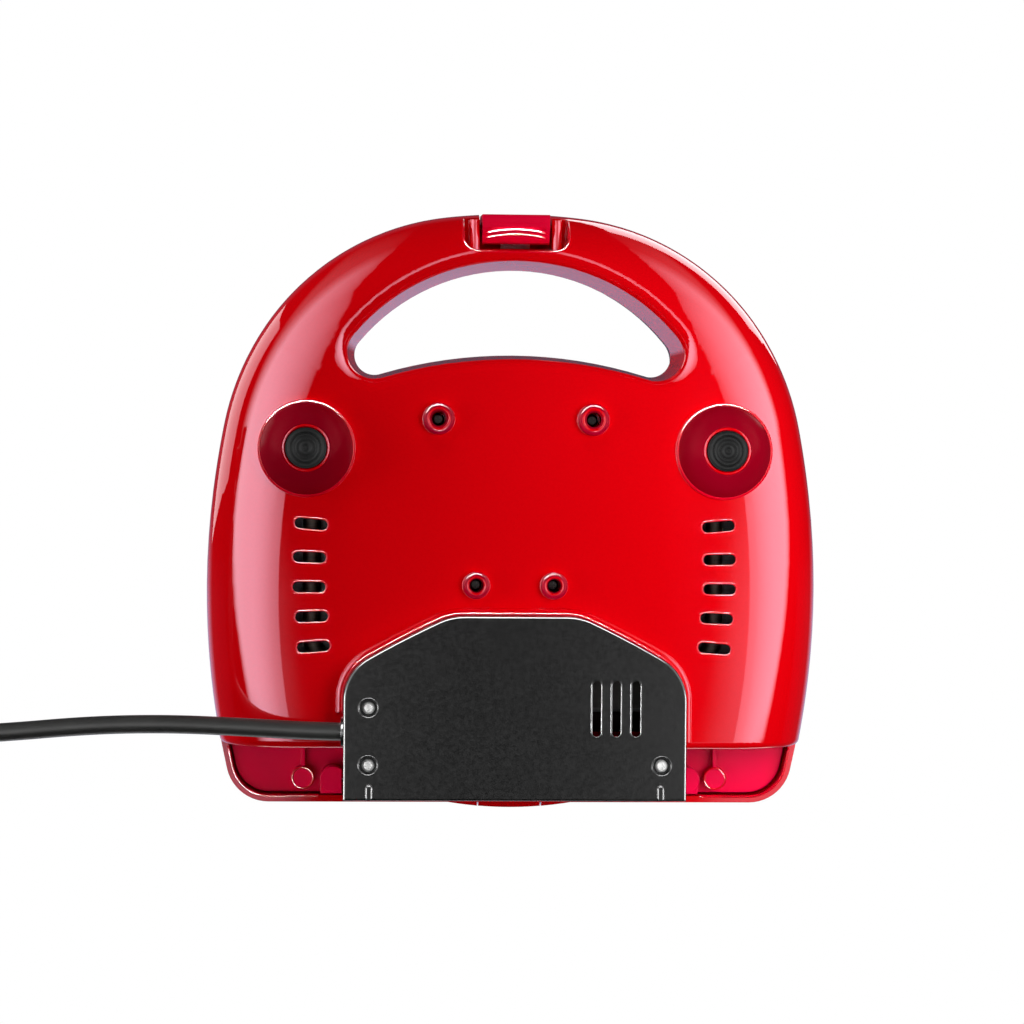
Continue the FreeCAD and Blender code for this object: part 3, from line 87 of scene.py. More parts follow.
# ------------------------------------------------------------------ node helpers
class Mat:
    def __init__(self, name):
        self.m = bpy.data.materials.new(name)
        self.m.use_nodes = True
        self.t = self.m.node_tree
        self.b = self.t.nodes["Principled BSDF"]
        self.out = self.t.nodes["Material Output"]
        self._co = None

    def n(self, kind, **kw):
        x = self.t.nodes.new(kind)
        for k, v in kw.items():
            if k in x.inputs.keys() if hasattr(x.inputs, "keys") else False:
                x.inputs[k].default_value = v
            else:
                setattr(x, k, v)
        return x

    def l(self, a, b):
        self.t.links.new(a, b)

    def co(self):
        if self._co is None:
            self._co = self.n("ShaderNodeTexCoord").outputs["Object"]
        return self._co

    def noise(self, scale, detail=3.0, rough=0.5, src=None, dist=0.0):
        x = self.n("ShaderNodeTexNoise")
        x.inputs["Scale"].default_value = scale
        x.inputs["Detail"].default_value = detail
        x.inputs["Roughness"].default_value = rough
        x.inputs["Distortion"].default_value = dist
        self.l(src or self.co(), x.inputs["Vector"])
        return x.outputs["Fac"]

    def voronoi(self, scale, feature="F1", src=None):
        x = self.n("ShaderNodeTexVoronoi")
        x.feature = feature
        x.inputs["Scale"].default_value = scale
        self.l(src or self.co(), x.inputs["Vector"])
        return x.outputs["Distance"]

    def ramp(self, fac, stops):
        x = self.n("ShaderNodeValToRGB")
        e = x.color_ramp.elements
        while len(e) > 1:
            e.remove(e[-1])
        e[0].position = stops[0][0]
        e[0].color = tuple(stops[0][1]) + (1,) if len(stops[0][1]) == 3 else stops[0][1]
        for p, c in stops[1:]:
            q = e.new(p)
            q.color = tuple(c) + (1,) if len(c) == 3 else c
        self.l(fac, x.inputs["Fac"])
        return x.outputs["Color"]

    def rng(self, fac, a, b, lo=0.0, hi=1.0):
        x = self.n("ShaderNodeMapRange")
        x.inputs["From Min"].default_value = lo
        x.inputs["From Max"].default_value = hi
        x.inputs["To Min"].default_value = a
        x.inputs["To Max"].default_value = b
        self.l(fac, x.inputs["Value"])
        return x.outputs["Result"]

    def math(self, op, a, b=None):
        x = self.n("ShaderNodeMath")
        x.operation = op
        for i, v in enumerate((a, b)):
            if v is None:
                continue
            if isinstance(v, (int, float)):
                x.inputs[i].default_value = v
            else:
                self.l(v, x.inputs[i])
        return x.outputs[0]

    def mix(self, fac, a, b, blend="MIX"):
        x = self.n("ShaderNodeMix")
        x.data_type = "RGBA"
        x.blend_type = blend
        for s, v in ((x.inputs[0], fac), (x.inputs[6], a), (x.inputs[7], b)):
            if isinstance(v, (int, float)):
                s.default_value = v
            elif isinstance(v, (tuple, list)):
                s.default_value = tuple(v) + (1,) if len(v) == 3 else v
            else:
                self.l(v, s)
        return x.outputs[2]

    def bump(self, h, strength, dist, prev=None):
        x = self.n("ShaderNodeBump")
        x.inputs["Strength"].default_value = strength
        x.inputs["Distance"].default_value = dist
        self.l(h, x.inputs["Height"])
        if prev is not None:
            self.l(prev, x.inputs["Normal"])
        return x.outputs["Normal"]

    def round(self, radius, samples=5):
        """Normal with the sharp edges rounded off by radius metres."""
        x = self.n("ShaderNodeBevel")
        x.samples = samples
        x.inputs["Radius"].default_value = radius
        return x.outputs["Normal"]

    def set(self, **kw):
        for k, v in kw.items():
            s = self.b.inputs[k.replace("_", " ")]
            if isinstance(v, bpy.types.NodeSocket):
                self.l(v, s)
            elif isinstance(v, (tuple, list)) and len(v) == 3 and s.type == "RGBA":
                s.default_value = tuple(v) + (1,)
            else:
                s.default_value = v
        return self


def red_gloss():
    k = Mat("red_gloss_shell")
    broad = k.noise(7.0, 2.0, 0.5)
    fine = k.noise(2600.0, 2.0, 0.6)
    col = k.ramp(broad, [(0.30, (0.655, 0.0002, 0.0029)), (0.70, (0.705, 0.0004, 0.0039))])
    specks = k.ramp(k.noise(900.0, 3.0, 0.7), [(0.30, (0.95, 0.95, 0.95)), (0.60, (1, 1, 1))])
    col = k.mix(1.0, col, specks, "MULTIPLY")
    rough = k.rng(k.noise(38.0, 4.0, 0.6), 0.022, 0.040, 0.3, 0.7)
    nrm = k.bump(k.noise(30.0, 2.0, 0.5), 0.03, 0.0004, k.round(0.00045))
    nrm = k.bump(fine, 0.012, 0.00004, nrm)
    k.set(Base_Color=col, Roughness=rough, Normal=nrm)
    k.b.inputs["IOR"].default_value = 1.5
    k.b.inputs["Specular IOR Level"].default_value = 0.73
    k.b.inputs["Specular Tint"].default_value = (1.0, 0.66, 0.83, 1)
    return k.m


def red_satin(name="red_satin_frame", under=None):
    k = Mat(name)
    broad = k.noise(12.0, 3.0, 0.5)
    col = k.ramp(broad, [(0.30, (0.530, 0.0003, 0.030)), (0.70, (0.600, 0.0006, 0.040))])
    grain = k.noise(1900.0, 3.0, 0.65)
    nrm = k.bump(grain, 0.06, 0.00006, k.round(0.0007))
    # below the height given by under, the colour is mixed to near black: painted shade for the dark cavity behind the
    # cover's vents
    if under is not None:
        sep = k.n("ShaderNodeSeparateXYZ")
        k.l(k.co(), sep.inputs[0])
        col = k.mix(k.rng(sep.outputs[2], 1.0, 0.0, under, under + 0.0006), col, (0.010, 0.002, 0.003))
    k.set(Base_Color=col, Roughness=k.rng(grain, 0.12, 0.18, 0.3, 0.7), Normal=nrm)
    k.b.inputs["Specular IOR Level"].default_value = 0.05
    return k.m


def red_lip(name="red_gloss_lip", lo=(0.600, 0.0003, 0.010), hi=(0.690, 0.0006, 0.016), spec=0.12, rough=(0.08, 0.14)):
    k = Mat(name)
    col = k.ramp(k.noise(22.0, 3.0, 0.5), [(0.30, lo), (0.70, hi)])
    g = k.noise(1500.0, 3.0, 0.6)
    k.set(Base_Color=col, Roughness=k.rng(g, rough[0], rough[1], 0.3, 0.7), Normal=k.bump(g, 0.03, 0.00005))
    k.b.inputs["Specular IOR Level"].default_value = spec
    return k.m


def black_plastic(name="black_textured_plastic", base=0.0062, rough=(0.14, 0.20), grain_scale=1500.0, grain=0.05):
    k = Mat(name)
    g1 = k.voronoi(grain_scale)
    g2 = k.noise(grain_scale * 0.45, 3.0, 0.6)
    h = k.math("ADD", g1, g2)
    broad = k.noise(14.0, 4.0, 0.55)
    col = k.ramp(broad, [(0.32, (base * 0.88,) * 3), (0.68, (base * 1.14,) * 3)])
    dust = k.ramp(k.noise(420.0, 6.0, 0.75), [(0.60, (0, 0, 0)), (0.74, (1, 1, 1))])
    col = k.mix(k.rng(dust, 0.0, 0.10), col, (base * 2.6, base * 2.6, base * 2.55))
    k.set(Base_Color=col, Roughness=k.rng(g2, rough[0], rough[1], 0.3, 0.7), Normal=k.bump(h, grain, 0.00005, k.round(0.00035)))
    k.b.inputs["Specular IOR Level"].default_value = 0.35
    return k.m


def rubber():
    k = Mat("black_rubber_pad")
    g = k.noise(2400.0, 4.0, 0.7)
    # moulded rings: distance from the pad's own axis
    q = k.n("ShaderNodeSeparateXYZ")
    k.l(k.co(), q.inputs[0])
    dx = k.math("SUBTRACT", k.math("ABSOLUTE", q.outputs["X"]), 0.078)
    dy = k.math("ADD", q.outputs["Y"], 0.0226)
    rad = k.math("SQRT", k.math("ADD", k.math("MULTIPLY", dx, dx), k.math("MULTIPLY", dy, dy)))
    wave = k.math("SINE", k.math("MULTIPLY", rad, 2 * math.pi / 0.00150))
    band = k.rng(wave, 0.0, 1.0, -1.0, 1.0)
    col = k.ramp(k.noise(700.0, 4.0, 0.7), [(0.3, (0.0060, 0.0062, 0.0062)), (0.7, (0.0200, 0.0205, 0.0205))])
    # the grooves between the rings are painted darker: painted shade in the grooves; the rings' relief is the bump
    col = k.mix(k.math("MULTIPLY", k.ramp(band, [(0.30, (0, 0, 0)), (0.62, (1, 1, 1))]), 0.85), (0.0022, 0.0022, 0.0022), col)
    nrm = k.bump(band, 0.55, 0.0003, k.round(0.0002))
    k.set(Base_Color=col, Roughness=k.rng(g, 0.38, 0.55, 0.3, 0.7), Normal=k.bump(g, 0.35, 0.0001, nrm))
    k.b.inputs["Specular IOR Level"].default_value = 0.14
    return k.m


def metal(name, color, rough=(0.22, 0.36), aniso_scale=None, bump=0.04, metallic=1.0):
    k = Mat(name)
    sc = k.n("ShaderNodeMapping")
    sc.inputs["Scale"].default_value = aniso_scale or (300.0, 300.0, 900.0)
    k.l(k.co(), sc.inputs["Vector"])
    g = k.noise(3.0, 4.0, 0.6, sc.outputs["Vector"])
    spots = k.noise(260.0, 5.0, 0.7)
    c2 = tuple(x * 0.80 for x in color)
    col = k.ramp(spots, [(0.35, c2), (0.62, color)])
    k.set(Base_Color=col, Metallic=metallic, Roughness=k.rng(g, rough[0], rough[1], 0.3, 0.7), Normal=k.bump(g, bump, 0.0001))
    return k.m


def coated_plate():
    k = Mat("nonstick_plate")
    g = k.noise(950.0, 5.0, 0.65)
    v = k.voronoi(1700.0)
    col = k.ramp(k.noise(30.0, 4.0, 0.6), [(0.3, (0.016, 0.016, 0.018)), (0.7, (0.027, 0.027, 0.030))])
    flecks = k.ramp(k.noise(1500.0, 2.0, 0.5), [(0.66, (0, 0, 0)), (0.74, (1, 1, 1))])
    col = k.mix(k.rng(flecks, 0.0, 0.35), col, (0.13, 0.13, 0.135))
    k.set(Base_Color=col, Roughness=k.rng(g, 0.30, 0.46, 0.3, 0.7), Normal=k.bump(k.math("ADD", g, v), 0.12, 0.00012))
    return k.m


def plain(name, c1, c2, rough=(0.35, 0.5), scale=90.0, grain=1200.0, strength=0.1, **kw):
    k = Mat(name)
    col = k.ramp(k.noise(scale, 4.0, 0.6), [(0.3, c1), (0.7, c2)])
    g = k.noise(grain, 3.0, 0.6)
    k.set(Base_Color=col, Roughness=k.rng(g, rough[0], rough[1], 0.3, 0.7), Normal=k.bump(g, strength, 0.0001))
    for a, v in kw.items():
        k.b.inputs[a.replace("_", " ")].default_value = v
    return k.m


def cord_pvc():
    k = Mat("cord_pvc")
    g = k.noise(1500.0, 3.0, 0.6)
    col = k.ramp(k.noise(60.0, 3.0, 0.5), [(0.3, (0.0185, 0.0185, 0.0180)), (0.7, (0.0265, 0.0265, 0.0255))])
    k.set(Base_Color=col, Roughness=k.rng(g, 0.36, 0.50, 0.3, 0.7), Normal=k.bump(g, 0.10, 0.0001))
    return k.m


MAT = {
    "red": red_gloss(),
    "satin": red_satin(),
    # lower frame: near black below 37.6 mm, painted shade for the dark cavity behind the vents
    "satin_painted_shade_low": red_satin("red_satin_frame_painted_shade_low", 0.0376),
    "lip": red_lip(),
    # a darker copy of the red shell plastic: painted shade on the boss rims and the rings round the feet's pads
    "boss": red_lip("red_boss_rim_painted_shade", (0.330, 0.0003, 0.012), (0.410, 0.0005, 0.018), 0.045, (0.08, 0.14)),
    "rib": red_lip("red_grip_rib", (0.600, 0.0004, 0.022), (0.680, 0.0007, 0.030), 0.60, (0.08, 0.14)),
    # a darker copy of the red shell plastic: painted shade on the foot cones and the edges of the bores
    "foot": red_lip("red_foot_cone_painted_shade", (0.215, 0.0003, 0.007), (0.270, 0.0006, 0.011), 0.02, (0.20, 0.28)),
    "latch": red_lip("red_latch", (0.600, 0.0004, 0.022), (0.680, 0.0007, 0.030), 0.10, (0.16, 0.24)),
    "black": black_plastic(),
    "plug": black_plastic("plug_plastic", 0.016, (0.30, 0.42), 1100.0, 0.08),
    "tie": black_plastic("tie_plastic", 0.014, (0.35, 0.5), 1500.0, 0.08),
    "rubber": rubber(),
    "screw": metal("zinc_screw", (0.86, 0.86, 0.85), (0.22, 0.40), metallic=0.40),
    "pin": metal("steel_pin", (0.58, 0.58, 0.59), (0.18, 0.30)),
    "spring": metal("spring_steel", (0.36, 0.36, 0.38), (0.25, 0.4)),
    "can": metal("steel_can", (0.52, 0.52, 0.53), (0.25, 0.4)),
    "sheath": metal("element_sheath", (0.055, 0.046, 0.040), (0.50, 0.65)),
    # near black screws deep in the boss bores: painted shade in the bores
    "dark_screw": metal("bore_screw_painted_shade", (0.050, 0.048, 0.047), (0.30, 0.45)),
    # near black sheet metal: painted shade for the dark space seen through the openings
    "shield": metal("shield_sheet_painted_shade", (0.026, 0.024, 0.023), (0.32, 0.50), (60.0, 1500.0, 60.0), 0.08),
    "nickel": metal("nickel_brass", (0.72, 0.68, 0.60), (0.12, 0.22)),
    "brass": metal("brass_screw", (0.65, 0.45, 0.16), (0.22, 0.35)),
    "plate": coated_plate(),
    "sleeve": plain("glass_sleeve", (0.55, 0.52, 0.46), (0.70, 0.67, 0.60), (0.7, 0.9), 60.0, 2200.0, 0.5),
    "white": plain("terminal_plastic", (0.62, 0.62, 0.60), (0.72, 0.72, 0.70)),
    "wire": plain("wire_silicone", (0.20, 0.075, 0.022), (0.26, 0.10, 0.03), (0.45, 0.6)),
    "board": plain("laminate_strip", (0.30, 0.21, 0.09), (0.36, 0.27, 0.12), (0.5, 0.7)),
    "lens_red": plain("lens_red", (0.55, 0.004, 0.003), (0.65, 0.006, 0.004), (0.06, 0.12), 40.0, 400.0, 0.02, Transmission_Weight=0.35),
    "lens_green": plain("lens_green", (0.01, 0.28, 0.03), (0.015, 0.36, 0.045), (0.06, 0.12), 40.0, 400.0, 0.02, Transmission_Weight=0.35),
    "cord": cord_pvc(),
}
NODE_MAT = {
    "base_shell": "red", "lid_shell": "red", "latch": "latch", "rear_cap": "red",
    "lower_frame": "satin_painted_shade_low", "upper_frame": "satin", "foot_pads": "rubber",
    "rear_cover": "black", "cord_bush": "black", "cord_clamp": "black", "plug_body": "plug", "cord_tie": "tie",
    "cover_screws": "screw", "plate_screws_lower": "dark_screw", "frame_screws_lower": "screw", "frame_screws_upper": "screw",
    "clamp_screws": "screw", "terminal_screws": "brass", "lower_plate": "plate", "upper_plate": "plate",
    "lower_element": "sheath", "upper_element": "sheath", "lower_heat_shield": "shield", "upper_heat_shield": "shield",
    "thermostat": "can", "thermal_fuse": "sleeve", "terminal_block": "white", "internal_wires": "wire",
    "hinge_pins": "pin", "latch_pin": "pin", "latch_catch": "spring", "lamp_holder": "board",
    "power_lens": "lens_red", "ready_lens": "lens_green",
    "cord": "cord", "cord_coil": "cord", "cord_tail": "cord", "plug_pins": "nickel", "plug_earth_clips": "nickel",
}
for name, key in NODE_MAT.items():
    ob = NODES[name]
    if not ob.material_slots:
        ob.data.materials.append(MAT[key])
    for sl in ob.material_slots:
        sl.material = MAT[key]


def link(ob):
    scene.collection.objects.link(ob)
    return ob


def new_mesh(name, bm, mat, smooth=True, body="base"):
    me = bpy.data.meshes.new(name)
    bm.normal_update()
    bm.to_mesh(me)
    bm.free()
    ob = link(bpy.data.objects.new(name, me))
    me.materials.append(mat)
    if smooth:
        for p in me.polygons:
            p.use_smooth = True
    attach(ob, body)
    return ob


# ------------------------------------------------------------------ mains cord
MM = 0.001
ROUTE = [(-42.0, 82.5, 6.6), (-70.0, 82.4, 6.5), (-98.5, 80.65, 4.45), (-127.0, 79.3, 3.45), (-156.0, 79.9, 3.45),
         (-189.5, 82.9, 3.45), (-222.3, 84.6, 3.8)]
COX, COY = -247.0, 41.0
# coil turns as (angle, radius, height)
TURNS = []
a = 86.0
while a < 900.0:
    if a < 415.0:
        r, z = 43.5, 4.3
    elif a < 500.0:
        t = (a - 415.0) / 85.0
        r, z = 43.5 - 6.9 * t, 4.3
    elif a < 705.0:
        r, z = 36.6, 4.3
    else:
        t = min(1.0, (a - 705.0) / 70.0)
        t = t * t * (3 - 2 * t)
        r = 36.6 + 3.4 * t
        z = 4.3 + 6.8 * t
    TURNS.append((a, r, z))
    a += 27.0
TURNS = [q for q in TURNS if q[0] < 893.0]
TAIL = [(-286.8, 46.6, 11.3), (-287.2, 28.2, 11.5), (-288.5, 9.8, 11.1), (-288.5, -8.0, 6.9)]
pts = [tuple(c * MM for c in p) for p in ROUTE]
for an, r, z in TURNS:
    t = math.radians(an)
    # a control point sits outside the turn it makes
    k = 1.0 / math.cos(math.radians(13.5)) ** 0.5 * 1.012
    pts.append(((COX + r * k * math.cos(t)) * MM, (COY + r * k * math.sin(t)) * MM, z * MM))
pts += [tuple(c * MM for c in p) for p in TAIL[1:]]
cu = bpy.data.curves.new("mains_cord", "CURVE")
cu.dimensions = "3D"
sp = cu.splines.new("NURBS")
sp.points.add(len(pts) - 1)
for i, p in enumerate(pts):
    sp.points[i].co = (p[0], p[1], p[2], 1.0)
sp.order_u = 3
sp.use_endpoint_u = True
sp.resolution_u = 10
cu.bevel_depth = 3.4 * MM
cu.bevel_resolution = 6
cu.use_fill_caps = True
cu.materials.append(MAT["cord"])
flex = link(bpy.data.objects.new("mains_cord", cu))
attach(flex, "base")
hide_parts("cord", "cord_coil", "cord_tail")


# ------------------------------------------------------------------ tie and plug
def lathe(bm, prof, seg, cx=0.0, cy=0.0, close_ends=True):
    """Turned form about a vertical axis; prof is (radius, z) in millimetres."""
    rings = []
    for r, z in prof:
        if r < 1e-6:
            rings.append([bm.verts.new((cx * MM, cy * MM, z * MM))])
        else:
            rings.append([bm.verts.new(((cx + r * math.cos(2 * math.pi * i / seg)) * MM, (cy + r * math.sin(2 * math.pi * i / seg)) * MM, z * MM))
                          for i in range(seg)])
    for A, B in zip(rings[:-1], rings[1:]):
        for i in range(seg):
            j = (i + 1) % seg
            if len(A) == 1 and len(B) == 1:
                continue
            if len(A) == 1:
                bm.faces.new((A[0], B[j], B[i]))
            elif len(B) == 1:
                bm.faces.new((A[i], A[j], B[0]))
            else:
                bm.faces.new((A[i], A[j], B[j], B[i]))
    return rings


def rounded_box(name, mat, lo, hi, r, seg=3, body="base", cuts=None):
    """Box with rounded edges, corners in millimetres."""
    bm = bmesh.new()
    bmesh.ops.create_cube(bm, size=1.0)
    for v in bm.verts:
        v.co = Vector([(lo[i] + (v.co[i] + 0.5) * (hi[i] - lo[i])) * MM for i in range(3)])
    bmesh.ops.bevel(bm, geom=list(bm.edges), offset=r * MM, segments=seg, profile=0.5, affect="EDGES")
    return new_mesh(name, bm, mat, True, body)


# plug, lying on its back with its pins up
PCX, PCY = -288.5, -53.0
bm = bmesh.new()
lathe(bm, [(0, 0.0), (14.6, 0.0), (16.4, 0.35), (17.8, 1.4), (18.4, 3.0), (18.5, 5.0), (18.5, 12.6), (18.25, 13.3), (17.6, 13.7), (17.5, 14.4),
           (17.5, 22.6), (17.2, 23.5), (16.4, 24.0), (15.2, 24.0), (14.9, 23.7), (14.4, 23.7), (14.1, 24.0), (0, 24.0)], 96, PCX, PCY)
plug = new_mesh("plug_shell", bm, MAT["plug"], True)
# moulded neck with flex slots round it
bm = bmesh.new()
NSEG = 40
path = [(-39.5, 6.3), (-36.0, 6.3), (-33.0, 6.1)]
y = -33.0
neck_prof = [(-39.5, 6.35), (-34.0, 6.3), (-31.0, 6.0)]
for i in range(6):
    y0 = -30.0 + i * 3.3
    r0 = 5.95 - i * 0.24
    neck_prof += [(y0, r0), (y0 + 0.25, r0 - 0.9), (y0 + 1.35, r0 - 0.95), (y0 + 1.6, r0 - 0.08)]
neck_prof += [(-9.6, 4.45), (-8.5, 4.3), (-8.0, 3.9), (-8.0, 3.2)]
rings = []
for yy, rr in neck_prof:
    ring = []
    for i in range(NSEG):
        t = 2 * math.pi * i / NSEG
        c, s_ = math.cos(t), math.sin(t)
        ring.append(bm.verts.new(((PCX + rr * c) * MM, yy * MM, (6.9 + rr * s_) * MM)))
    rings.append(ring)
for A, B in zip(rings[:-1], rings[1:]):
    for i in range(NSEG):
        j = (i + 1) % NSEG
        bm.faces.new((A[i], B[i], B[j], A[j]))
bm.faces.new(rings[0])
bm.faces.new(rings[-1][::-1])
neck = new_mesh("plug_neck", bm, MAT["plug"], True)
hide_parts("plug_body")
# tie: a flat band pinched round the turns, with twisted ends
bm = bmesh.new()
band = []
W_ = 8.0
prof = []
for i in range(48):
    t = 2 * math.pi * i / 48
    c, s_ = math.cos(t), math.sin(t)
    x = 8.25 * math.copysign(abs(c) ** 0.62, c)
    z = 4.25 * math.copysign(abs(s_) ** 0.72, s_)
    prof.append((x, z))
for yy, k in ((-2.6, 0.985), (-2.2, 1.0), (2.2, 1.0), (2.6, 0.985)):
    band.append([bm.verts.new(((COX + 40.0 + x * k) * MM, (COY + yy) * MM, (4.36 + z * k) * MM)) for x, z in prof])
inner = []
for yy in (2.6, -2.6):
    inner.append([bm.verts.new(((COX + 40.0 + x * 0.93) * MM, (COY + yy) * MM, (4.36 + z * 0.90) * MM)) for x, z in prof])
loops = band + inner
n_ = len(prof)
for a_, b_ in zip(loops, loops[1:] + loops[:1]):
    for i in range(n_):
        j = (i + 1) % n_
        bm.faces.new((a_[i], a_[j], b_[j], b_[i]))
tie = new_mesh("cord_tie_band", bm, MAT["tie"], True)
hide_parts("cord_tie")


# ------------------------------------------------------------------ rounded lips and edges
def tree(name):
    me_ = NODES[name].data
    return BVHTree.FromPolygons([v.co.copy() for v in me_.vertices], [tuple(p.vertices) for p in me_.polygons])


BASE = tree("base_shell")
LATCH = tree("latch")
LID = tree("lid_shell")


def under(t, x, y):
    """Height of a part's underside over (x, y), in millimetres."""
    h = t.ray_cast(Vector((x * MM, y * MM, -0.05)), Vector((0, 0, 1)))
    return h[0].z / MM if h[0] is not None else None


def sweep(name, runs, r, mat, body="base", closed=True, seg=12, taper=False):
    """Round bead of radius r along each run of points, in millimetres."""
    bm = bmesh.new()
    for run in runs:
        P = [Vector(p) for p in run]
        n_ = len(P)
        rings_ = []
        for i in range(n_):
            a_ = P[(i - 1) % n_] if closed or i > 0 else P[i]
            b_ = P[(i + 1) % n_] if closed or i < n_ - 1 else P[i]
            t_ = (b_ - a_).normalized()
            side = t_.cross(Vector((0, 0, 1))).normalized()
            upv = side.cross(t_).normalized()
            rr = r
            if taper:
                e_ = min(i, n_ - 1 - i) / 3.0
                rr = r * min(1.0, 0.35 + 0.65 * math.sqrt(min(1.0, e_)))
            rings_.append([bm.verts.new((P[i] + side * rr * math.cos(2 * math.pi * q / seg) + upv * rr * math.sin(2 * math.pi * q / seg)) * MM)
                           for q in range(seg)])
        m_ = n_ if closed else n_ - 1
        for i in range(m_):
            A_, B_ = rings_[i], rings_[(i + 1) % n_]
            for q in range(seg):
                w = (q + 1) % seg
                bm.faces.new((A_[q], A_[w], B_[w], B_[q]))
        if not closed:
            bm.faces.new(rings_[0][::-1])
            bm.faces.new(rings_[-1])
    bmesh.ops.recalc_face_normals(bm, faces=list(bm.faces))
    return new_mesh(name, bm, mat, True, body)


def ring(cx, cy, z, r, n_=96):
    return [(cx + r * math.cos(2 * math.pi * i / n_), cy + r * math.sin(2 * math.pi * i / n_), z) for i in range(n_)]


def stadium(cx, cy, half_len, rad, ang, n_=14):
    """Round-ended slot outline: half_len is to the end of its arc."""
    c_, s_ = math.cos(math.radians(ang)), math.sin(math.radians(ang))
    k_ = half_len - rad
    P = []
    for sg, a0 in ((1, -90.0), (-1, 90.0)):
        for i in range(n_ + 1):
            t_ = math.radians(a0 + 180.0 * i / n_)
            P.append((sg * k_ + rad * math.cos(t_), rad * math.sin(t_)))
    return [(cx + x * c_ - y * s_, cy + x * s_ + y * c_) for x, y in P]


# vents: the moulded edge is rounded
runs = []
for x, y, ang_ in ((76.1, 5.5, 5.0), (76.6, 17.9, 1.5), (76.7, 29.0, 0.0), (75.7, 40.0, -2.2), (74.9, 51.2, -4.2)):
    for sg in (-1, 1):
        r_ = 0.42
        o_ = r_ - 0.05
        loop = stadium(sg * x, y, 12.3 / 2 + o_, 3.9 / 2 + o_, -sg * ang_)
        runs.append([(px_, py_, 12.0 + o_) for px_, py_ in loop])
sweep("vent_lips", runs, 0.42, MAT["lip"])
# feet: cone, rounded flange, ring round the pad
FOOT = [(-78.0, -22.6), (78.0, -22.6)]
ARC = []
A_, B_, C_ = (8.8, 1.35), (13.9, 4.9), (17.2, 10.4)
# centre of the circle through the three points of the foot's flank
d_ = 2.0 * (A_[0] * (B_[1] - C_[1]) + B_[0] * (C_[1] - A_[1]) + C_[0] * (A_[1] - B_[1]))
cr_ = sum((p[0] ** 2 + p[1] ** 2) * (q[1] - r[1]) for p, q, r in ((A_, B_, C_), (B_, C_, A_), (C_, A_, B_))) / d_
cz_ = sum((p[0] ** 2 + p[1] ** 2) * (r[0] - q[0]) for p, q, r in ((A_, B_, C_), (B_, C_, A_), (C_, A_, B_))) / d_
R0_ = math.hypot(A_[0] - cr_, A_[1] - cz_)
a0_, a1_ = math.atan2(A_[1] - cz_, A_[0] - cr_), math.atan2(C_[1] - cz_, C_[0] - cr_)
m_ = math.atan2(B_[1] - cz_, B_[0] - cr_)
# outward is away from the foot's axis and down
side_ = 1.0 if math.cos(m_) - math.sin(m_) > 0.0 else -1.0
if a1_ - a0_ > math.pi:
    a1_ -= 2.0 * math.pi
if a0_ - a1_ > math.pi:
    a1_ += 2.0 * math.pi
for i in range(25):
    t_ = a0_ + (a1_ - a0_) * i / 24.0
    ARC.append((cr_ + R0_ * math.cos(t_), cz_ + R0_ * math.sin(t_), side_ * math.cos(t_), side_ * math.sin(t_)))


def ring_lathe(bm, prof, cx, cy, seg=120):
    """Closed profile turned about a vertical axis."""
    R_ = [[bm.verts.new(((cx + r_ * math.cos(2 * math.pi * i / seg)) * MM, (cy + r_ * math.sin(2 * math.pi * i / seg)) * MM, z_ * MM)) for i in range(seg)]
          for r_, z_ in prof]
    for a_, b_ in zip(R_, R_[1:] + R_[:1]):
        for i in range(seg):
            j_ = (i + 1) % seg
            bm.faces.new((a_[i], a_[j_], b_[j_], b_[i]))


bm = bmesh.new()
for cx_, cy_ in FOOT:
    outer_ = [(r_ + 0.13 * u_, z_ + 0.13 * v_) for r_, z_, u_, v_ in ARC]
    inner_ = [(r_ - 0.8 * u_, z_ - 0.8 * v_) for r_, z_, u_, v_ in ARC][::-1]
    ring_lathe(bm, outer_ + inner_, cx_, cy_)
bmesh.ops.recalc_face_normals(bm, faces=list(bm.faces))
# the cones take the darker red: painted shade on the shell's red plastic
new_mesh("foot_cones", bm, MAT["foot"])
sweep("foot_flange_lips", [ring(cx_, cy_, 10.98, 17.24, 160) for cx_, cy_ in FOOT], 0.90, MAT["lip"], seg=20)
# the pad rings take the darker boss red: painted shade
sweep("foot_tip_rings", [ring(cx_, cy_, 1.62, 8.20, 120) for cx_, cy_ in FOOT], 0.56, MAT["boss"], seg=16)
# screw bosses: a fat rounded rim and the edge of the bore
BOSS = [(-28.9, -34.0, 5.85, 3.7), (28.9, -34.0, 5.85, 3.7), (-14.5, 28.0, 5.0, 3.1), (14.5, 28.0, 5.0, 3.1)]
# the rims take the darker boss red: painted shade
sweep("boss_rims", [ring(x, y, 9.55, r_ - 1.12, 96) for x, y, r_, ri_ in BOSS], 1.20, MAT["boss"], seg=24)
# the bore edges take the darker red: painted shade
sweep("boss_bore_lips", [ring(x, y, 9.42, (2.75 if r_ > 5.5 else 2.5) + 0.45, 72) for x, y, r_, ri_ in BOSS], 0.46, MAT["foot"], seg=14)
# the moulded rim round the rear cover
loop = []
for i in range(241):
    t_ = math.radians(180.0 + 180.0 * i / 240.0)
    d_ = Vector((math.cos(t_), math.sin(t_), 0.0))
    h_ = BASE.ray_cast(Vector((0.0, 0.083, 0.0113)), d_)
    if h_[0] is not None and h_[0].y < 0.0815:
        q_ = h_[0] / MM + d_ * 0.45
        loop.append((q_.x, q_.y, 11.12))
if len(loop) > 10:
    sweep("cover_rim_lip", [loop], 0.52, MAT["lip"], closed=False)
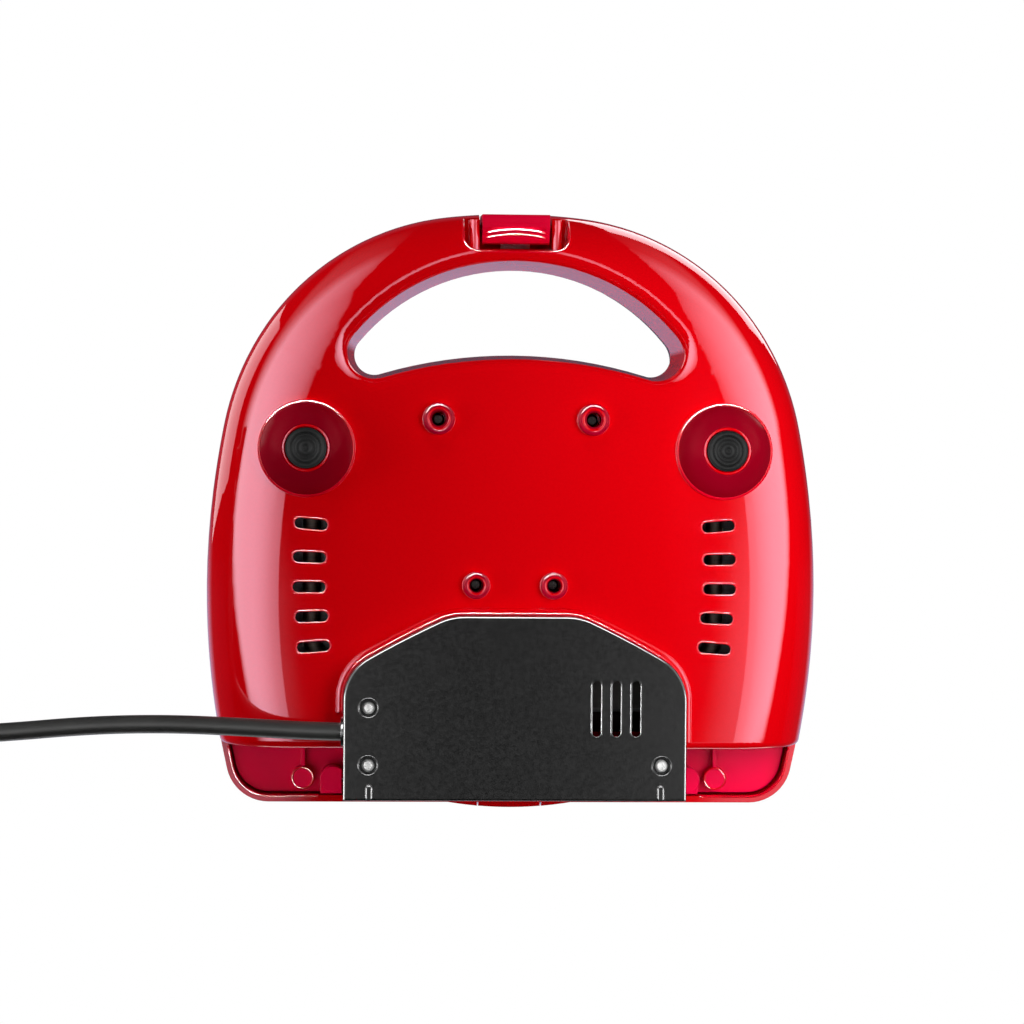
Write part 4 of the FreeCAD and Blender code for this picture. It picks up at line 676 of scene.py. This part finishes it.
# rounded edge of the finger recess
REC = [(19.5, -109.0), (19.5, -106.0), (19.5, -102.3)]
for i in range(1, 9):
    t_ = math.radians(90.0 * i / 8.0)
    REC.append((14.5 + 5.0 * math.cos(t_), -102.3 + 5.0 * math.sin(t_)))
REC += [(x, -97.3) for x in (11.0, 7.0, 3.5, 0.0)]
REC = REC + [(-x, y) for x, y in REC[:-1][::-1]]
run = []
for i, (x, y) in enumerate(REC):
    a_ = Vector(REC[max(0, i - 1)])
    b_ = Vector(REC[min(len(REC) - 1, i + 1)])
    t_ = (b_ - a_).normalized()
    out_ = Vector((t_.y, -t_.x))
    if out_.dot(Vector((x, y + 112.0))) < 0:
        out_ = -out_
    q_ = Vector((x, y)) + out_ * 0.40
    z_ = under(BASE, x + out_.x * 0.8, y + out_.y * 0.8)
    if z_ is not None and z_ < 30.0:
        run.append((q_.x, q_.y, z_ + 0.36))
if len(run) > 10:
    sweep("recess_lip", [run], 0.52, MAT["lip"], closed=False, seg=14)
# cover: rounded edges of the vents and of the screw recesses
sweep("cover_vent_lips", [[(px_, py_, 1.36) for px_, py_ in stadium(x, 73.2, 20.6 / 2 + 0.34, 3.2 / 2 + 0.34, 90.0)] for x in (30.1, 37.4, 44.7)],
      0.42, MAT["black"], seg=16)
sweep("cover_recess_lips", [ring(x, y, 1.36, 3.3 + 0.34, 72) for x, y in ((-54.3, 73.2), (-54.4, 94.4), (54.4, 94.4))], 0.42, MAT["black"], seg=16)
# rear corners of the lid: rounded inner edge of the rim, and of the frame's screw bosses
runs = []
for sg in (-1, 1):
    run = []
    for i in range(61):
        t_ = math.radians(205.0 - 172.0 * i / 60.0)
        d_ = Vector((math.cos(t_) * -sg, math.sin(t_), 0.0))
        h_ = LID.ray_cast(Vector((sg * 0.088, 0.100, 0.0432)), d_)
        if h_[0] is not None:
            q_ = h_[0] / MM + d_ * 0.34
            if q_.y > 90.0 and abs(q_.x) > 65.5 and (not run or (Vector(run[-1][:2]) - Vector((q_.x, q_.y))).length > 0.8):
                run.append((q_.x, q_.y, 42.84))
    if len(run) > 8:
        runs.append(run)
if runs:
    sweep("rim_lips", runs, 0.55, MAT["lip"], "lid", closed=False, seg=14)
sweep("frame_boss_lips", [ring(sg * 79.2, 102.9, 43.5, 3.95, 72) for sg in (-1, 1)], 0.48, MAT["lip"], "lid", seg=14)
# two curved grip ribs across the bottom of the latch
runs = []
for y0_, sag in ((-105.40, 1.22), (-103.85, 1.35)):
    run = []
    for i in range(33):
        x = -11.2 + 22.4 * i / 32.0
        y = y0_ + sag * (x / 11.2) ** 2
        z_ = under(LATCH, x, y)
        if z_ is not None:
            run.append((x, y, z_ - 0.12))
    if len(run) > 8:
        runs.append(run)
if runs:
    sweep("latch_grip_ribs", runs, 0.64, MAT["rib"], "latch", closed=False, seg=14, taper=True)


# ------------------------------------------------------------------ floor, backdrop light
bm = bmesh.new()
vs = [bm.verts.new((x, y, -0.0002)) for x, y in ((-4, -4), (4, -4), (4, 4), (-4, 4))]
bm.faces.new(vs)
me = bpy.data.meshes.new("floor")
bm.to_mesh(me)
bm.free()
floor = link(bpy.data.objects.new("floor", me))
fm = bpy.data.materials.new("pale_floor")
fm.use_nodes = True
t = fm.node_tree
pb = t.nodes["Principled BSDF"]
pb.inputs["Base Color"].default_value = (0.80, 0.80, 0.80, 1)
pb.inputs["Roughness"].default_value = 0.7
tr = t.nodes.new("ShaderNodeBsdfTransparent")
mx = t.nodes.new("ShaderNodeMixShader")
ge = t.nodes.new("ShaderNodeNewGeometry")
t.links.new(ge.outputs["Backfacing"], mx.inputs[0])
t.links.new(pb.outputs[0], mx.inputs[1])
t.links.new(tr.outputs[0], mx.inputs[2])
t.links.new(mx.outputs[0], t.nodes["Material Output"].inputs["Surface"])
me.materials.append(fm)
floor.visible_shadow = False
floor.visible_diffuse = False
floor.visible_glossy = False
floor.visible_transmission = False

world = bpy.data.worlds.new("studio")
scene.world = world
world.use_nodes = True
wt = world.node_tree


def wmath(op, a, b=None, clamp=False):
    x = wt.nodes.new("ShaderNodeMath")
    x.operation = op
    x.use_clamp = clamp
    for i_, v_ in enumerate((a, b)):
        if v_ is None:
            continue
        if isinstance(v_, (int, float)):
            x.inputs[i_].default_value = v_
        else:
            wt.links.new(v_, x.inputs[i_])
    return x.outputs[0]


def curve(src, stops):
    """Piecewise linear function of src."""
    lo_, hi_ = stops[0][0], stops[-1][0]
    mr = wt.nodes.new("ShaderNodeMapRange")
    mr.inputs["From Min"].default_value = lo_
    mr.inputs["From Max"].default_value = hi_
    wt.links.new(src, mr.inputs["Value"])
    r = wt.nodes.new("ShaderNodeValToRGB")
    e = r.color_ramp.elements
    e[0].position, e[0].color = 0.0, (stops[0][1],) * 3 + (1,)
    e[1].position, e[1].color = 1.0, (stops[-1][1],) * 3 + (1,)
    for p_, v_ in stops[1:-1]:
        q_ = e.new((p_ - lo_) / (hi_ - lo_))
        q_.color = (v_, v_, v_, 1)
    wt.links.new(mr.outputs["Result"], r.inputs["Fac"])
    return r.outputs["Color"]


wtc = wt.nodes.new("ShaderNodeTexCoord")
wsx = wt.nodes.new("ShaderNodeSeparateXYZ")
wt.links.new(wtc.outputs["Generated"], wsx.inputs[0])
DX, DY, DZ = wsx.outputs
# angle from straight down, split into degrees across (u) and degrees in depth (v)
ang = wmath("MULTIPLY", wmath("ARCCOSINE", wmath("MULTIPLY", DZ, -1.0)), 180.0 / math.pi)
flat_len = wmath("ADD", wmath("SQRT", wmath("ADD", wmath("MULTIPLY", DX, DX), wmath("MULTIPLY", DY, DY))), 1e-5)
U = wmath("ABSOLUTE", wmath("SUBTRACT", wmath("DIVIDE", wmath("MULTIPLY", ang, DX), flat_len), 3.1))
V = wmath("DIVIDE", wmath("MULTIPLY", ang, DY), flat_len)
# two tall softboxes, one each side and below: slanted inner edges, soft outer edges
inner = curve(V, [(-130.0, 0.28), (-90.0, 0.31), (-60.0, 0.325), (-45.0, 0.315), (-30.0, 0.245), (-20.0, 0.20), (-10.0, 0.125), (0.0, 0.043), (5.0, 0.037), (10.0, 0.03), (30.0, 0.03)])
outer = curve(V, [(-130.0, 0.55), (-90.0, 0.65), (-70.0, 0.72), (-45.0, 0.80), (-20.0, 0.855), (-5.0, 0.79), (0.0, 0.745), (5.0, 0.685), (10.0, 0.60), (15.0, 0.53), (30.0, 0.5)])
level = curve(V, [(-130.0, 0.0), (-112.0, 0.2), (-90.0, 0.45), (-70.0, 0.62), (-45.0, 0.80), (-20.0, 0.97), (0.0, 1.0), (10.5, 1.0), (13.0, 0.8), (16.0, 0.0), (30.0, 0.0)])
into = wmath("SUBTRACT", wmath("SUBTRACT", U, wmath("MULTIPLY", inner, 100.0)), curve(DX, [(-1.0, 0.95), (-0.01, 0.95), (0.01, 0.1), (1.0, 0.1)]))
ramp_in = curve(into, [(-0.4, 0.0), (0.3, 0.20), (3.0, 0.33), (7.0, 0.46), (11.0, 0.56), (16.0, 0.67), (22.0, 0.78), (30.0, 0.90), (40.0, 1.0), (60.0, 1.02)])
U2 = wmath("ABSOLUTE", wmath("ADD", wmath("DIVIDE", wmath("MULTIPLY", ang, DX), flat_len), 2.5))
ramp_out = curve(wmath("SUBTRACT", U2, wmath("MULTIPLY", outer, 100.0)), [(-5.0, 1.0), (-1.0, 0.75), (5.0, 0.0), (9.0, 0.0)])
# the softboxes stand below the object and end at the height of the floor
boxes = wmath("MULTIPLY", wmath("MULTIPLY", wmath("MULTIPLY", wmath("MULTIPLY", ramp_in, ramp_out), level), 7.3),
              curve(DZ, [(-1.0, 1.0), (-0.20, 1.0), (-0.04, 0.45), (0.10, 0.16), (0.5, 0.08), (1.0, 0.0)]))
lp = wt.nodes.new("ShaderNodeLightPath")
bg = wt.nodes["Background"]
bg.inputs["Color"].default_value = (1, 1, 1, 1)
bg.inputs["Strength"].default_value = 1.0
bg2 = wt.nodes.new("ShaderNodeBackground")
bg2.inputs["Color"].default_value = (1.0, 0.985, 0.97, 1)
wt.links.new(curve(DZ, [(-1.0, 0.11), (-0.1, 0.12), (0.25, 0.62), (1.0, 0.62)]), bg2.inputs["Strength"])
bg3 = wt.nodes.new("ShaderNodeBackground")
bg3.inputs["Color"].default_value = (1.0, 1.0, 1.0, 1)
wt.links.new(boxes, bg3.inputs["Strength"])
# the pale paper roll overhead
bg4 = wt.nodes.new("ShaderNodeBackground")
bg4.inputs["Color"].default_value = (0.66, 0.82, 1.20, 1)
wt.links.new(wmath("MULTIPLY", curve(DZ, [(0.0, 0.0), (0.10, 0.03), (0.70, 0.05), (0.86, 0.62), (1.0, 0.62)]),
                   curve(DY, [(-1.0, 0.10), (-0.03, 0.14), (0.05, 1.0), (1.0, 1.0)])), bg4.inputs["Strength"])
gl = wt.nodes.new("ShaderNodeAddShader")
wt.links.new(bg3.outputs[0], gl.inputs[0])
wt.links.new(bg4.outputs[0], gl.inputs[1])
m1 = wt.nodes.new("ShaderNodeMixShader")
m2 = wt.nodes.new("ShaderNodeMixShader")
wt.links.new(lp.outputs["Is Glossy Ray"], m1.inputs[0])
wt.links.new(bg2.outputs[0], m1.inputs[1])
wt.links.new(gl.outputs[0], m1.inputs[2])
wt.links.new(lp.outputs["Is Camera Ray"], m2.inputs[0])
wt.links.new(m1.outputs[0], m2.inputs[1])
wt.links.new(bg.outputs[0], m2.inputs[2])
wt.links.new(m2.outputs[0], wt.nodes["World Output"].inputs["Surface"])


def area(name, loc, target, sx, sy, radiance, color=(1, 1, 1), diffuse=True, glossy=True, roll=0.0, spread=180.0, only=None):
    """Soft light; only names the pieces it lights."""
    d = bpy.data.lights.new(name, "AREA")
    d.shape = "RECTANGLE"
    d.size, d.size_y = sx, sy
    d.energy = radiance * math.pi * sx * sy
    d.color = color
    d.spread = math.radians(spread)
    o = link(bpy.data.objects.new(name, d))
    z = (Vector(loc) - Vector(target)).normalized()
    q = z.to_track_quat("Z", "Y")
    o.matrix_world = Matrix.Translation(loc) @ q.to_matrix().to_4x4() @ Matrix.Rotation(math.radians(roll), 4, "Z")
    o.visible_diffuse = diffuse
    o.visible_glossy = glossy
    o.visible_camera = False
    if only:
        c = bpy.data.collections.new(name + "_lights")
        for x in only:
            c.objects.link(x)
        o.light_linking.receiver_collection = c
    return o


# fills: a near one below on the right, a grazing one for the left flank, one for the handle side
area("fill_below", (0.22, 0.0, -0.30), (0.20, 0.0, 0.0), 0.25, 0.25, 4.5, glossy=False, spread=120.0)
area("fill_left", (-1.1, 0.0, -0.18), (0, 0, 0.03), 0.7, 0.7, 4.6, glossy=False)
area("fill_front", (-0.15, -1.2, -0.40), (0, 0, 0.03), 0.6, 0.6, 4.0, glossy=False)
# strip lights seen only as glints along rounded edges
FRAMES = [NODES["lower_frame"], NODES["upper_frame"]]
LIPS = [o for o in scene.objects if o.name in ("vent_lips", "foot_flange_lips", "foot_tip_rings", "boss_rims", "cover_rim_lip",
                                               "recess_lip", "latch_grip_ribs")]
EDGED = [NODES["rear_cover"], NODES["cord_bush"]]
RECESS = [o for o in scene.objects if o.name == "cover_recess_lips"]
VENTED = [o for o in scene.objects if o.name == "cover_vent_lips"]
area("glint_lips", (-0.25, -1.5, -1.25), (0, 0, 0.02), 3.0, 1.7, 260.0, diffuse=False, only=LIPS)
area("fill_frames", (-0.35, 0.3, -1.0), (0, 0, 0.02), 0.5, 0.5, 5.2, glossy=False, only=[NODES["upper_frame"]])
area("glint_rims", (-0.75, 0.85, -1.1), (-0.06, 0.10, 0.04), 1.3, 1.3, 220.0, diffuse=False, only=[o for o in scene.objects if o.name in ("rim_lips", "frame_boss_lips")])
area("glint_top", (-0.1, -1.5, -1.0), (0, 0, 0.02), 2.8, 1.3, 60.0, diffuse=False, only=EDGED + RECESS)
area("glint_left", (-1.6, 0.35, -0.75), (0, 0, 0.02), 0.9, 0.9, 60.0, diffuse=False, only=EDGED + RECESS)
area("glint_vents", (-1.6, 0.0, -0.75), (0, 0, 0.02), 0.9, 0.9, 320.0, diffuse=False, only=VENTED)
area("glint_right", (1.6, 0.35, -0.75), (0, 0, 0.02), 0.9, 0.9, 60.0, diffuse=False, only=EDGED)
# studio light for the top and the sides
area("key_top", (0.9, -1.2, 1.5), (0, 0, 0.05), 1.3, 1.0, 3.4)
area("fill_top", (-1.5, -0.6, 1.1), (0, 0, 0.05), 1.0, 1.2, 2.0)
area("rim_back", (0.2, 1.7, 1.2), (0, 0, 0.05), 1.6, 0.6, 3.0)
